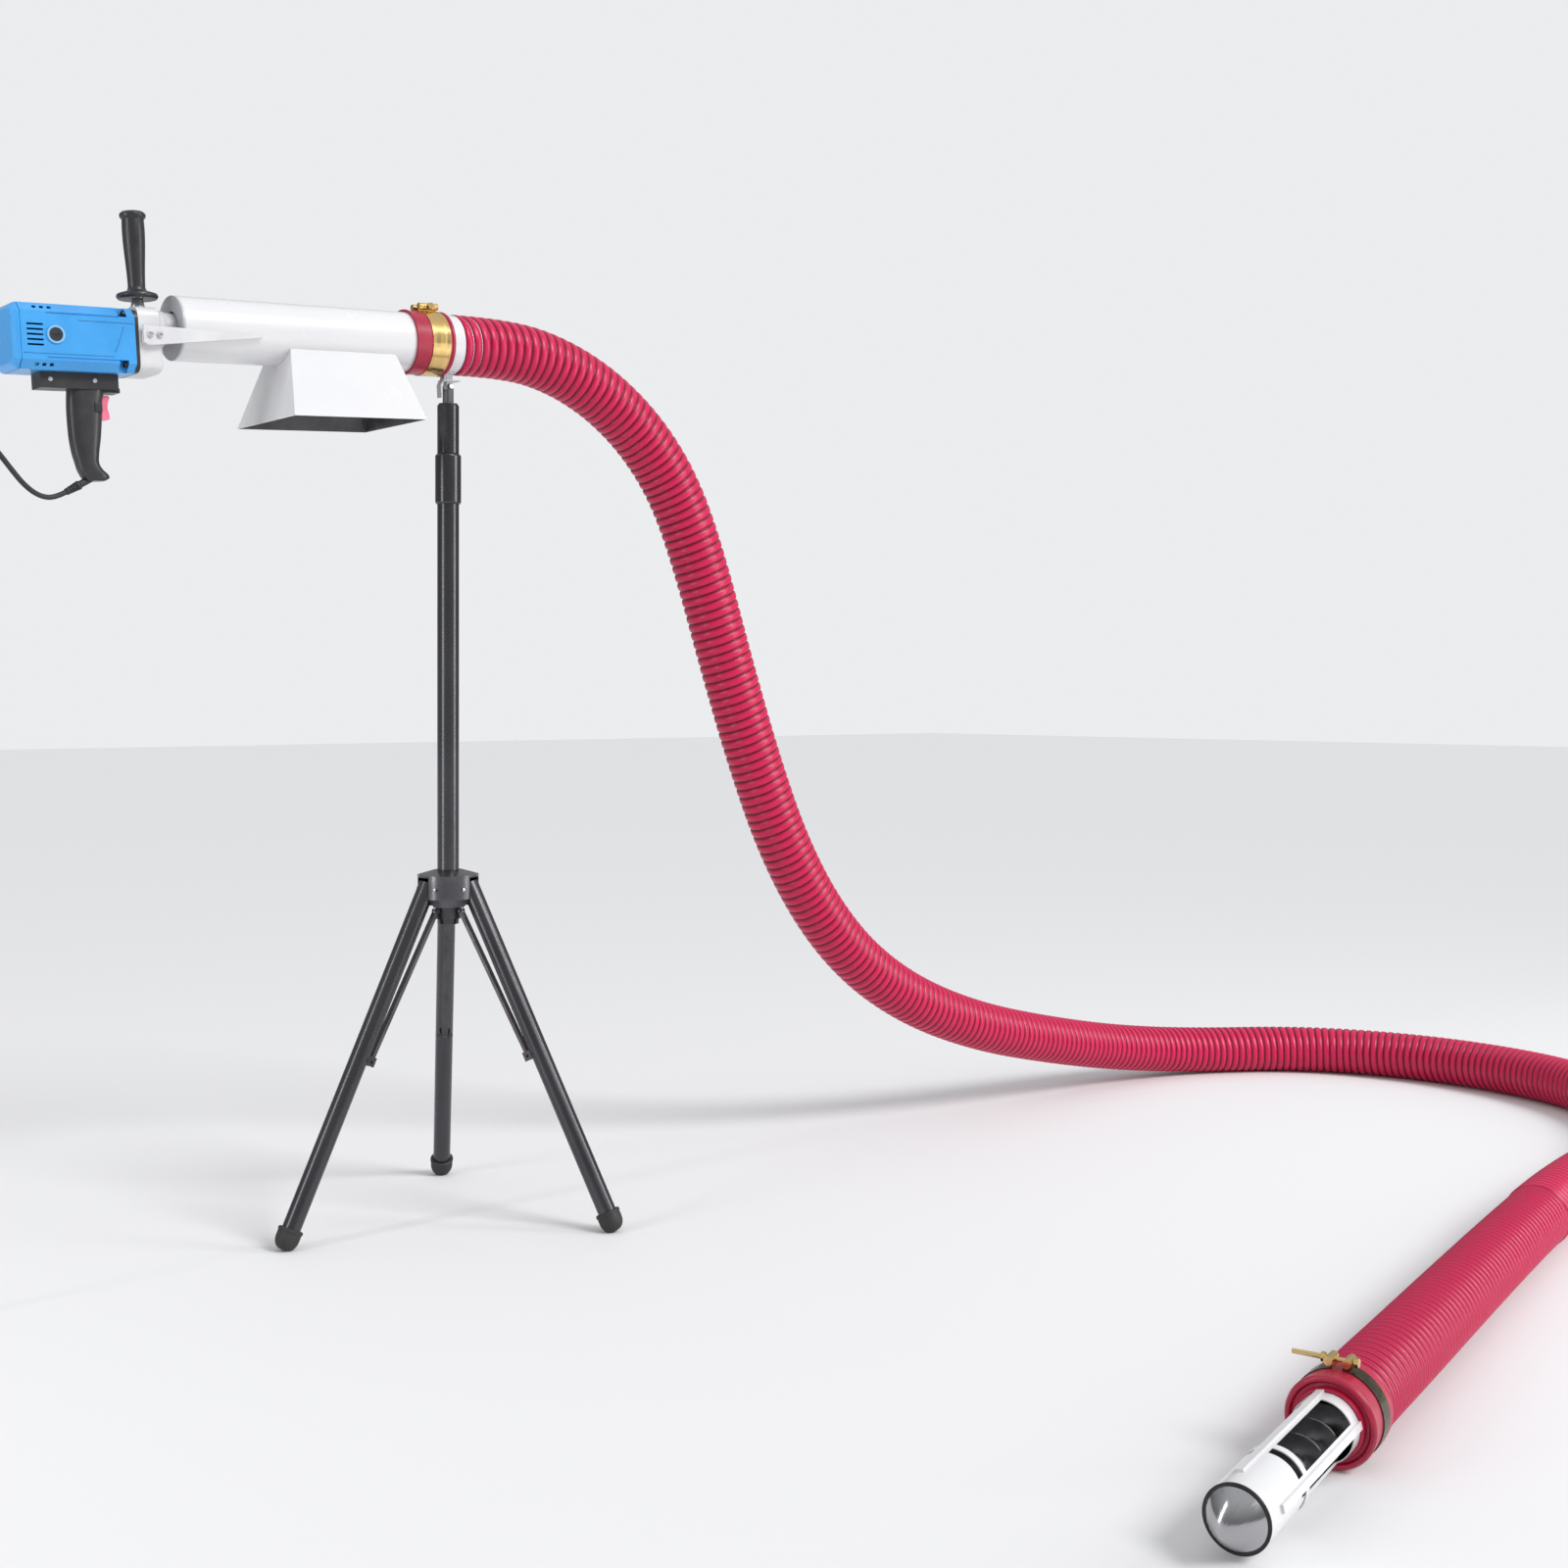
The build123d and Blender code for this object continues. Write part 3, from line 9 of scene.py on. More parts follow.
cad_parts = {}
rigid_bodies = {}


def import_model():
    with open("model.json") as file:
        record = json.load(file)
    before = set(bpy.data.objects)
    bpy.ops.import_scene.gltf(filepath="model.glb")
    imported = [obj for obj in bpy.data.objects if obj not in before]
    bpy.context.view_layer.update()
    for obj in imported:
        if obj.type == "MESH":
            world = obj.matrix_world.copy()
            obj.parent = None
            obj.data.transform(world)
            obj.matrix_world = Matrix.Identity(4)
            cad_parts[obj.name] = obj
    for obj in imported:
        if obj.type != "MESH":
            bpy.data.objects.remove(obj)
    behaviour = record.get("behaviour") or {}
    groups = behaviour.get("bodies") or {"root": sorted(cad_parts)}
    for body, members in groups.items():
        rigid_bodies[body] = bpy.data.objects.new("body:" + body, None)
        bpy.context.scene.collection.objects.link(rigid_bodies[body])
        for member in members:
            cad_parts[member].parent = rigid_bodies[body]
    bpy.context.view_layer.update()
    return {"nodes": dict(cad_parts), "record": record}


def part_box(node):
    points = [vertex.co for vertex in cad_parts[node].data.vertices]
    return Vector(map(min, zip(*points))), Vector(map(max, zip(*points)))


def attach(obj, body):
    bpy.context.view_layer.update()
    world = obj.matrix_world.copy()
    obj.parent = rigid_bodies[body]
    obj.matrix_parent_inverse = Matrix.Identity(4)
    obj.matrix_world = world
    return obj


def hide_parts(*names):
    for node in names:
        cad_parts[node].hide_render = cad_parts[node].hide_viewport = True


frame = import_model()
scene = bpy.context.scene
print("frame loaded:", len(frame["nodes"]), "nodes")

# places taken from the frame
mastLow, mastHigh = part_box("lower_mast")
mastX = (mastLow.x + mastHigh.x) / 2
mastY = (mastLow.y + mastHigh.y) / 2
machineSeat = {"pivotHeight": 1.428, "axisAbovePivot": 0.072, "lean": math.radians(3.5)}
headSeat = {"lip": (0.222, -1.622, 0.056), "azimuth": math.radians(195.5),
            "dip": math.radians(2.4)}


def fromMast(x, y, z):
    return Vector((mastX + x, mastY + y, z))


def onMachine(x, y, z):  # x along the discharge tube, z above its axis
    lean = machineSeat["lean"]
    height = z + machineSeat["axisAbovePivot"]
    return fromMast(x * math.cos(lean) - height * math.sin(lean), y,
                    machineSeat["pivotHeight"] + x * math.sin(lean) + height * math.cos(lean))


def onHead(x):  # along the suction head's axis, towards the cone
    azimuth, dip = headSeat["azimuth"], headSeat["dip"]
    lipX, lipY, lipZ = headSeat["lip"]
    level = x * math.cos(dip)
    return fromMast(lipX + level * math.cos(azimuth), lipY + level * math.sin(azimuth),
                    lipZ - x * math.sin(dip))


machineMatrix = (Matrix.Translation(onMachine(0, 0, 0))
                 @ Matrix.Rotation(-machineSeat["lean"], 4, "Y"))
headMatrix = (Matrix.Translation(onHead(0)) @ Matrix.Rotation(headSeat["azimuth"], 4, "Z")
              @ Matrix.Rotation(headSeat["dip"], 4, "Y"))


def newMaterial(name):
    material = bpy.data.materials.new(name)
    material.use_nodes = True
    return material, material.node_tree, material.node_tree.nodes["Principled BSDF"]


def addNode(tree, kind, **values):
    node = tree.nodes.new(kind)
    for key, value in values.items():
        setattr(node, key, value)
    return node


def noiseOn(tree, scale, detail=4.0, stretch=(1, 1, 1), turn=(0, 0, 0)):
    where = addNode(tree, "ShaderNodeTexCoord")
    mapping = addNode(tree, "ShaderNodeMapping")
    mapping.inputs["Scale"].default_value = stretch
    mapping.inputs["Rotation"].default_value = turn
    noise = addNode(tree, "ShaderNodeTexNoise")
    noise.inputs["Scale"].default_value = scale
    noise.inputs["Detail"].default_value = detail
    tree.links.new(where.outputs["Object"], mapping.inputs["Vector"])
    tree.links.new(mapping.outputs["Vector"], noise.inputs["Vector"])
    return noise.outputs["Fac"]


def spread(tree, value, low, high, fromLow=0.3, fromHigh=0.7):
    ranged = addNode(tree, "ShaderNodeMapRange")
    ranged.inputs["From Min"].default_value = fromLow
    ranged.inputs["From Max"].default_value = fromHigh
    ranged.inputs["To Min"].default_value = low
    ranged.inputs["To Max"].default_value = high
    tree.links.new(value, ranged.inputs["Value"])
    return ranged.outputs["Result"]


def blendColours(tree, share, first, second):
    mix = addNode(tree, "ShaderNodeMix", data_type="RGBA")
    mix.inputs["A"].default_value = (*first, 1)
    mix.inputs["B"].default_value = (*second, 1)
    tree.links.new(share, mix.inputs["Factor"])
    return mix.outputs["Result"]


def bumpFrom(tree, height, strength, distance):
    bump = addNode(tree, "ShaderNodeBump")
    bump.inputs["Strength"].default_value = strength
    bump.inputs["Distance"].default_value = distance
    tree.links.new(height, bump.inputs["Height"])
    return bump


# blotch and grain are the scales of the noise, rough runs from smooth to worn patches
finishes = {
    "powder_black": {
        "colour": (0.078, 0.078, 0.084), "shade": (0.062, 0.062, 0.068), "blotch": 7,
        "metal": 0.85, "rough": (0.25, 0.30), "grain": 1500, "depth": 0.000003, "coat": 0.1},
    "hub_grey": {
        "colour": (0.130, 0.130, 0.140), "shade": (0.085, 0.085, 0.092), "blotch": 22,
        "metal": 0.85, "rough": (0.26, 0.36), "grain": 900, "depth": 0.000008, "coat": 0.1},
    "dark_steel": {
        "colour": (0.10, 0.10, 0.105), "shade": (0.06, 0.06, 0.065), "blotch": 30,
        "metal": 0.7, "rough": (0.3, 0.42), "grain": 800, "depth": 0.00005, "coat": 0.0},
    "zinc": {
        "colour": (0.72, 0.72, 0.73), "shade": (0.58, 0.58, 0.60), "blotch": 60,
        "metal": 1.0, "rough": (0.24, 0.4), "grain": 500, "depth": 0.00004, "coat": 0.0},
    "white_enamel": {
        "colour": (0.70, 0.70, 0.71), "shade": (0.66, 0.66, 0.675), "blotch": 6,
        "metal": 0.0, "rough": (0.2, 0.28), "grain": 120, "depth": 0.00004, "coat": 0.5},
    "cast_white": {
        "colour": (0.66, 0.66, 0.67), "shade": (0.58, 0.58, 0.595), "blotch": 25,
        "metal": 0.0, "rough": (0.34, 0.5), "grain": 650, "depth": 0.00018, "coat": 0.2},
    "plate_grey": {
        "colour": (0.50, 0.51, 0.53), "shade": (0.42, 0.43, 0.45), "blotch": 20,
        "metal": 0.1, "rough": (0.3, 0.4), "grain": 400, "depth": 0.00006, "coat": 0.2},
    "crimson_rubber": {
        "colour": (0.42, 0.006, 0.045), "shade": (0.30, 0.004, 0.030), "blotch": 24,
        "metal": 0.0, "rough": (0.30, 0.44), "grain": 500, "depth": 0.00006, "coat": 0.1},
    "dark_bronze": {
        "colour": (0.085, 0.062, 0.030), "shade": (0.035, 0.028, 0.018), "blotch": 60,
        "metal": 0.9, "rough": (0.24, 0.40), "grain": 500, "depth": 0.00004, "coat": 0.2},
    "grey_ribbon": {
        "colour": (0.150, 0.145, 0.150), "shade": (0.080, 0.076, 0.080), "blotch": 40,
        "metal": 0.7, "rough": (0.26, 0.42), "grain": 400, "depth": 0.00004, "coat": 0.1},
    "black_ribbon": {
        "colour": (0.030, 0.028, 0.030), "shade": (0.014, 0.013, 0.014), "blotch": 40,
        "metal": 0.6, "rough": (0.26, 0.42), "grain": 400, "depth": 0.00005, "coat": 0.1},
    "pale_blue": {
        "colour": (0.26, 0.50, 0.74), "shade": (0.20, 0.42, 0.66), "blotch": 30,
        "metal": 0.0, "rough": (0.24, 0.34), "grain": 900, "depth": 0.00004, "coat": 0.25},
    "deep_blue": {
        "colour": (0.010, 0.075, 0.235), "shade": (0.007, 0.052, 0.170), "blotch": 30,
        "metal": 0.0, "rough": (0.34, 0.46), "grain": 900, "depth": 0.00004, "coat": 0.1},
    "blue_plastic": {
        "colour": (0.045, 0.330, 0.740), "shade": (0.036, 0.275, 0.640), "blotch": 14,
        "metal": 0.0, "rough": (0.26, 0.36), "grain": 1100, "depth": 0.00007, "coat": 0.25},
    "black_plastic": {
        "colour": (0.020, 0.020, 0.022), "shade": (0.012, 0.012, 0.013), "blotch": 20,
        "metal": 0.0, "rough": (0.34, 0.46), "grain": 1200, "depth": 0.00012, "coat": 0.1},
    "black_rubber": {
        "colour": (0.022, 0.022, 0.022), "shade": (0.014, 0.014, 0.014), "blotch": 30,
        "metal": 0.0, "rough": (0.5, 0.66), "grain": 700, "depth": 0.00012, "coat": 0.0},
    "pink_plastic": {
        "colour": (0.84, 0.19, 0.29), "shade": (0.74, 0.14, 0.23), "blotch": 40,
        "metal": 0.0, "rough": (0.28, 0.38), "grain": 900, "depth": 0.00006, "coat": 0.3},
    "steel": {
        "colour": (0.56, 0.56, 0.58), "shade": (0.44, 0.44, 0.46), "blotch": 40,
        "metal": 1.0, "rough": (0.22, 0.36), "grain": 300, "depth": 0.00004, "coat": 0.0},
    "spring_steel": {
        "colour": (0.45, 0.45, 0.47), "shade": (0.33, 0.33, 0.35), "blotch": 50,
        "metal": 1.0, "rough": (0.28, 0.4), "grain": 400, "depth": 0.00004, "coat": 0.0},
    "laminations": {
        "colour": (0.20, 0.17, 0.15), "shade": (0.30, 0.14, 0.07), "blotch": 45,
        "metal": 0.8, "rough": (0.35, 0.5), "grain": 350, "depth": 0.0001, "coat": 0.2},
}


def coatedFinish(name):
    look = finishes[name]
    material, tree, shader = newMaterial(name)
    blotches = spread(tree, noiseOn(tree, look["blotch"]), 0, 1)
    colour = blendColours(tree, blotches, look["colour"], look["shade"])
    tree.links.new(colour, shader.inputs["Base Color"])
    worn = spread(tree, noiseOn(tree, look["blotch"] * 3, 6), *look["rough"])
    tree.links.new(worn, shader.inputs["Roughness"])
    grain = bumpFrom(tree, noiseOn(tree, look["grain"], 2), 0.6, look["depth"])
    tree.links.new(grain.outputs["Normal"], shader.inputs["Normal"])
    shader.inputs["Metallic"].default_value = look["metal"]
    shader.inputs["Coat Weight"].default_value = look["coat"]
    shader.inputs["Coat Roughness"].default_value = 0.12
    return material


def hoseFinish():  # the valleys between the ribs are darker than their crests: painted shade in the valleys
    material, tree, shader = newMaterial("crimson_hose")
    rib = addNode(tree, "ShaderNodeAttribute", attribute_name="rib")
    crest = spread(tree, rib.outputs["Fac"], 0, 1, 0.1, 0.95)
    # painted shade: the rib valleys get a near-black crimson, the crests the hose's own crimson
    ribbedWithValleyShade = blendColours(tree, crest, (0.110, 0.001, 0.012), (0.560, 0.008, 0.075))
    cloud = addNode(tree, "ShaderNodeMix", data_type="RGBA", blend_type="MULTIPLY")
    cloud.inputs["Factor"].default_value = 0.35
    tree.links.new(ribbedWithValleyShade, cloud.inputs["A"])
    dusty = blendColours(tree, noiseOn(tree, 18), (1, 1, 1), (0.80, 0.74, 0.76))
    tree.links.new(dusty, cloud.inputs["B"])
    tree.links.new(cloud.outputs["Result"], shader.inputs["Base Color"])
    tree.links.new(spread(tree, noiseOn(tree, 70, 5), 0.30, 0.42), shader.inputs["Roughness"])
    grain = bumpFrom(tree, noiseOn(tree, 420, 3), 0.4, 0.00006)
    tree.links.new(grain.outputs["Normal"], shader.inputs["Normal"])
    shader.inputs["Specular IOR Level"].default_value = 0.35
    return material


def brassFinish():
    material, tree, shader = newMaterial("brass")
    drawn = noiseOn(tree, 160, 5, (1, 0.08, 0.08))
    colour = blendColours(tree, spread(tree, drawn, 0, 1), (0.78, 0.56, 0.24), (0.62, 0.42, 0.16))
    tree.links.new(colour, shader.inputs["Base Color"])
    tree.links.new(spread(tree, drawn, 0.14, 0.30), shader.inputs["Roughness"])
    tree.links.new(bumpFrom(tree, drawn, 0.25, 0.00004).outputs["Normal"], shader.inputs["Normal"])
    shader.inputs["Metallic"].default_value = 1.0
    return material


def spunFinish():  # turning marks run round the suction head's own axis
    material, tree, shader = newMaterial("cone_chrome")
    where = addNode(tree, "ShaderNodeTexCoord")
    toAxis = addNode(tree, "ShaderNodeMapping", vector_type="TEXTURE")
    toAxis.inputs["Location"].default_value = headMatrix.translation
    toAxis.inputs["Rotation"].default_value = headMatrix.to_euler()
    rings = addNode(tree, "ShaderNodeTexWave", wave_type="BANDS", bands_direction="X")
    rings.inputs["Scale"].default_value = 220
    rings.inputs["Distortion"].default_value = 1.5
    rings.inputs["Detail"].default_value = 2
    tree.links.new(where.outputs["Object"], toAxis.inputs["Vector"])
    tree.links.new(toAxis.outputs["Vector"], rings.inputs["Vector"])
    tree.links.new(blendColours(tree, rings.outputs["Fac"], (0.44, 0.44, 0.45), (0.37, 0.37, 0.38)),
                   shader.inputs["Base Color"])
    tree.links.new(spread(tree, noiseOn(tree, 40, 2), 0.15, 0.19), shader.inputs["Roughness"])
    tree.links.new(bumpFrom(tree, rings.outputs["Fac"], 0.1, 0.00002).outputs["Normal"],
                   shader.inputs["Normal"])
    shader.inputs["Metallic"].default_value = 1.0
    return material


materials = {name: coatedFinish(name) for name in finishes}
materials["crimson_hose"] = hoseFinish()
materials["brass"] = brassFinish()
materials["cone_chrome"] = spunFinish()
slotOf = {row["node"]: row["material_slot"] for row in frame["record"]["subparts"]}
for node, cadObject in frame["nodes"].items():
    cadObject.data.materials.clear()
    look = "grey_ribbon" if node == "head_screw" else slotOf[node]
    cadObject.data.materials.append(materials[look])
print("materials made:", len(materials))


def plainMesh(source, name):  # the evaluated result as a mesh object with no modifiers
    depsgraph = bpy.context.evaluated_depsgraph_get()
    mesh = bpy.data.meshes.new_from_object(source.evaluated_get(depsgraph), depsgraph=depsgraph)
    mesh.name = name
    made = bpy.data.objects.new(name, mesh)
    scene.collection.objects.link(made)
    return made


def discard(helper):
    bpy.data.objects.remove(helper)


def smoothUpTo(mesh, degrees):
    limit = math.radians(degrees)
    shape = bmesh.new()
    shape.from_mesh(mesh)
    for face in shape.faces:
        face.smooth = True
    for edge in shape.edges:
        edge.smooth = len(edge.link_faces) == 2 and edge.calc_face_angle(0) < limit
    shape.to_mesh(mesh)
    shape.free()


def settle(piece, body, slot, *nodes):
    if not piece.data.materials:
        piece.data.materials.append(materials[slot])
    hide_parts(*nodes)
    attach(piece, body)
    return piece


def meshObject(name, shape):
    mesh = bpy.data.meshes.new(name)
    shape.to_mesh(mesh)
    shape.free()
    made = bpy.data.objects.new(name, mesh)
    scene.collection.objects.link(made)
    return made


sharpEdges = {"shadedUpTo": 30, "bevelledFrom": 32, "weld": 0.000002, "flat": 0.4}


def softened(helper, name, width, segments=2):  # the helper's sharp edges broken, as a plain mesh
    smoothUpTo(helper.data, sharpEdges["shadedUpTo"])
    bevel = helper.modifiers.new("edges", "BEVEL")
    bevel.width = width
    bevel.segments = segments
    bevel.limit_method = "ANGLE"
    bevel.angle_limit = math.radians(sharpEdges["bevelledFrom"])
    bevel.miter_outer = "MITER_ARC"
    normals = helper.modifiers.new("normals", "WEIGHTED_NORMAL")
    normals.keep_sharp = True
    piece = plainMesh(helper, name)
    discard(helper)
    return piece


def solidBox(name, spanX, spanY, spanZ):
    shape = bmesh.new()
    bmesh.ops.create_cube(shape, size=1)
    for vertex in shape.verts:
        vertex.co = [(low + high) / 2 + at * (high - low)
                     for (low, high), at in zip((spanX, spanY, spanZ), vertex.co)]
    return meshObject(name, shape)


def combined(target, tool, operation):
    modifier = target.modifiers.new("combine", "BOOLEAN")
    modifier.object = tool
    modifier.operation = operation
    modifier.solver = "EXACT"
    made = plainMesh(target, target.name + "_cut")
    discard(target)
    discard(tool)
    return made


# (radius, height) points turned about Z, where a radius of 0 closes the end
def lathe(name, profile, sides):
    shape = bmesh.new()
    rings = []
    for radius, height in profile:
        if radius == 0:
            rings.append([shape.verts.new((0, 0, height))])
            continue
        angles = [2 * math.pi * side / sides for side in range(sides)]
        rings.append([shape.verts.new((radius * math.cos(angle), radius * math.sin(angle), height))
                      for angle in angles])
    for first, second in zip(rings, rings[1:]):
        for side in range(sides):
            corners = [first[side % len(first)], first[(side + 1) % len(first)],
                       second[(side + 1) % len(second)], second[side % len(second)]]
            shape.faces.new(list(dict.fromkeys(corners)))
    bmesh.ops.recalc_face_normals(shape, faces=shape.faces)
    return meshObject(name, shape)


bodyOf = {node: body for body, nodes in frame["record"]["behaviour"]["bodies"].items()
          for node in nodes}


def rounded(node, width):  # a copy of a CAD node with its sharp edges broken
    shape = bmesh.new()
    shape.from_mesh(frame["nodes"][node].data)
    bmesh.ops.remove_doubles(shape, verts=shape.verts, dist=sharpEdges["weld"])
    bmesh.ops.dissolve_limit(shape, angle_limit=math.radians(sharpEdges["flat"]),
                             verts=shape.verts, edges=shape.edges)
    piece = softened(meshObject(node + "_helper", shape), node + "_finish", width)
    return settle(piece, bodyOf[node], slotOf[node], node)


hoseShape = {"radius": 0.052, "pitch": 0.0168, "ribHeight": 0.0042, "sides": 38, "rows": 6,
             "fineFrom": 4.9, "fineLoss": 0.45, "flatness": 3.4, "valleyShift": 0.11,
             "step": 0.008, "weld": 0.00004, "endLip": 0.004, "lipRate": 10000.0}
hoseRoute = [
    onMachine(0.010, 0, 0), onMachine(0.122, 0, 0),
    *[fromMast(*point) for point in (
        (0.229, 0, 1.487), (0.334, 0, 1.438), (0.424, 0, 1.364), (0.494, 0, 1.269),
        (0.551, 0, 1.132), (0.612, 0, 0.950), (0.680, 0, 0.765), (0.751, 0, 0.604),
        (0.840, 0, 0.466), (0.952, 0, 0.352), (1.106, 0.002, 0.258), (1.305, 0.008, 0.184),
        (1.538, 0.022, 0.128), (1.783, 0.034, 0.080), (2.015, -0.002, 0.052),
        (2.240, -0.150, 0.052), (2.352, -0.370, 0.052), (2.372, -0.623, 0.052),
        (2.302, -0.853, 0.052), (2.150, -1.040, 0.052), (1.940, -1.157, 0.052),
        (1.690, -1.203, 0.052), (1.400, -1.263, 0.053), (1.080, -1.357, 0.054),
        (0.760, -1.456, 0.056), (0.480, -1.546, 0.060))],
    onHead(-0.130), onHead(-0.012),
]


def routeCurve(name, points, resolution=12):
    data = bpy.data.curves.new(name, "CURVE")
    data.dimensions = "3D"
    data.resolution_u = resolution
    spline = data.splines.new("NURBS")
    spline.points.add(len(points) - 1)
    for control, point in zip(spline.points, points):
        control.co = (*point, 1)
    spline.order_u = 3
    spline.use_endpoint_u = True
    made = bpy.data.objects.new(name, data)
    scene.collection.objects.link(made)
    return made


def pointsAlong(curve):
    mesh = bpy.data.meshes.new_from_object(curve)
    return [vertex.co.copy() for vertex in mesh.vertices]


def lengthOf(path):
    return sum((after - before).length for before, after in zip(path, path[1:]))


class Tree:  # a Geometry Nodes tree with named inputs and a last step that sets the material

    def __init__(self, name, sizes):
        self.tree = bpy.data.node_groups.new(name, "GeometryNodeTree")
        face = self.tree.interface
        face.new_socket("Geometry", in_out="INPUT", socket_type="NodeSocketGeometry")
        self.ids = {}
        for label, value in sizes.items():
            whole = isinstance(value, int)
            kind = "NodeSocketInt" if whole else "NodeSocketFloat"
            socket = face.new_socket(label, in_out="INPUT", socket_type=kind)
            socket.default_value = value
            self.ids[label] = socket.identifier
        face.new_socket("Geometry", in_out="OUTPUT", socket_type="NodeSocketGeometry")
        self.start = self.tree.nodes.new("NodeGroupInput")

    def given(self, label):
        return self.start.outputs[label]

    def node(self, kind, inputs=(), **values):
        made = self.tree.nodes.new(kind)
        for key, value in values.items():
            setattr(made, key, value)
        for place, value in dict(inputs).items():
            self.feed(made.inputs[place], value)
        return made

    def feed(self, socket, value):
        if isinstance(value, bpy.types.NodeSocket):
            self.tree.links.new(value, socket)
        else:
            socket.default_value = value

    def math(self, operation, *values):
        made = self.tree.nodes.new("ShaderNodeMath")
        made.operation = operation
        for socket, value in zip(made.inputs, values):
            self.feed(socket, value)
        return made.outputs[0]

    def vector(self, operation, *values):
        made = self.tree.nodes.new("ShaderNodeVectorMath")
        made.operation = operation
        for socket, value in zip(made.inputs, values):
            self.feed(socket, value)
        return made.outputs[0]

    def scaled(self, vector, factor):
        made = self.tree.nodes.new("ShaderNodeVectorMath")
        made.operation = "SCALE"
        self.feed(made.inputs["Vector"], vector)
        self.feed(made.inputs["Scale"], factor)
        return made.outputs[0]

    def close(self, geometry, material):
        real = self.node("GeometryNodeRealizeInstances", {"Geometry": geometry})
        painted = self.node("GeometryNodeSetMaterial", {"Geometry": real.outputs[0]})
        painted.inputs["Material"].default_value = material
        end = self.tree.nodes.new("NodeGroupOutput")
        self.tree.links.new(painted.outputs[0], end.inputs[0])

    def grow(self, target, name):  # run the tree on an object and keep only its mesh
        modifier = target.modifiers.new(name, "NODES")
        modifier.node_group = self.tree
        made = plainMesh(target, name)
        target.modifiers.remove(modifier)
        return made


# a grid rolled round the route: columns go round it, and each full turn advances by one pitch
def wrapTree(name, sizes, material, profile):
    tree = Tree(name, sizes)
    smooth = tree.node("GeometryNodeResampleCurve", {"Curve": tree.given("Geometry"),
                                                     "Length": hoseShape["step"]}, mode="LENGTH")
    length = tree.node("GeometryNodeCurveLength", {"Curve": smooth.outputs[0]}).outputs[0]
    pitchesLong = tree.math("DIVIDE", length, tree.given("Pitch"))
    turns = tree.math("CEIL", tree.math("ADD", pitchesLong, 1.0))
    columns = tree.math("ADD", tree.math("MULTIPLY", turns, tree.given("Sides")), 1.0)
    rows = tree.given("Rows")
    perColumn = tree.math("ADD", rows, 1.0)
    grid = tree.node("GeometryNodeMeshGrid", {"Vertices X": columns, "Vertices Y": perColumn})
    index = tree.node("GeometryNodeInputIndex").outputs[0]
    column = tree.math("FLOOR", tree.math("DIVIDE", tree.math("ADD", index, 0.5), perColumn))
    row = tree.math("SUBTRACT", index, tree.math("MULTIPLY", column, perColumn))
    even = tree.math("DIVIDE", row, rows)
    swing = tree.math("SINE", tree.math("MULTIPLY", even, 2 * math.pi))
    shift = tree.math("MULTIPLY", swing, hoseShape["valleyShift"])  # more rows in the valleys
    across = tree.math("SUBTRACT", even, shift)
    turn = tree.math("DIVIDE", column, tree.given("Sides"))
    pitches = tree.math("SUBTRACT", tree.math("ADD", turn, across), 1.0)
    along = tree.math("MULTIPLY", tree.given("Pitch"), pitches)
    held = tree.math("MAXIMUM", 0.0, tree.math("MINIMUM", along, length))
    sample = tree.node("GeometryNodeSampleCurve", {"Curves": smooth.outputs[0], "Length": held},
                       mode="LENGTH")
    angle = tree.math("MULTIPLY", turn, 2 * math.pi)
    side = tree.vector("CROSS_PRODUCT", sample.outputs["Tangent"], sample.outputs["Normal"])
    outward = tree.vector("ADD", tree.scaled(sample.outputs["Normal"], tree.math("COSINE", angle)),
                          tree.scaled(side, tree.math("SINE", angle)))
    radius, rib = profile(tree, across, along, held)
    place = tree.vector("ADD", sample.outputs["Position"], tree.scaled(outward, radius))
    moved = tree.node("GeometryNodeSetPosition", {"Geometry": grid.outputs[0], "Position": place})
    kept = tree.node("GeometryNodeStoreNamedAttribute",
                     {"Geometry": moved.outputs[0], "Name": "rib", "Value": rib})
    welded = tree.node("GeometryNodeMergeByDistance",
                       {"Geometry": kept.outputs[0], "Distance": hoseShape["weld"]})
    shaded = tree.node("GeometryNodeSetShadeSmooth", {"Geometry": welded.outputs[0]})
    tree.close(shaded.outputs[0], material)
    return tree


# one rounded rib to each pitch, and two finer ones near the suction head
def hoseProfile(tree, across, along, held):
    fine = tree.math("GREATER_THAN", along, tree.given("Fine From"))
    share = tree.math("FRACT", tree.math("MULTIPLY", across, tree.math("ADD", fine, 1.0)))
    offCrest = tree.math("ABSOLUTE", tree.math("SUBTRACT", tree.math("MULTIPLY", share, 2.0), 1.0))
    crest = tree.math("SUBTRACT", 1.0, tree.math("POWER", offCrest, tree.given("Flatness")))
    loss = tree.math("SUBTRACT", 1.0, tree.math("MULTIPLY", fine, hoseShape["fineLoss"]))
    height = tree.math("MULTIPLY", crest, tree.math("MULTIPLY", tree.given("Rib Height"), loss))
    past = tree.math("ABSOLUTE", tree.math("SUBTRACT", along, held))
    lip = tree.math("MINIMUM", 1.0, tree.math("MULTIPLY", past, hoseShape["lipRate"]))
    base = tree.math("SUBTRACT", tree.given("Radius"), tree.given("Rib Height"))
    full = tree.math("ADD", base, height)
    turnedIn = tree.math("MULTIPLY", lip, hoseShape["endLip"])  # the cut ends turn in to the wall
    return tree.math("SUBTRACT", full, turnedIn), crest


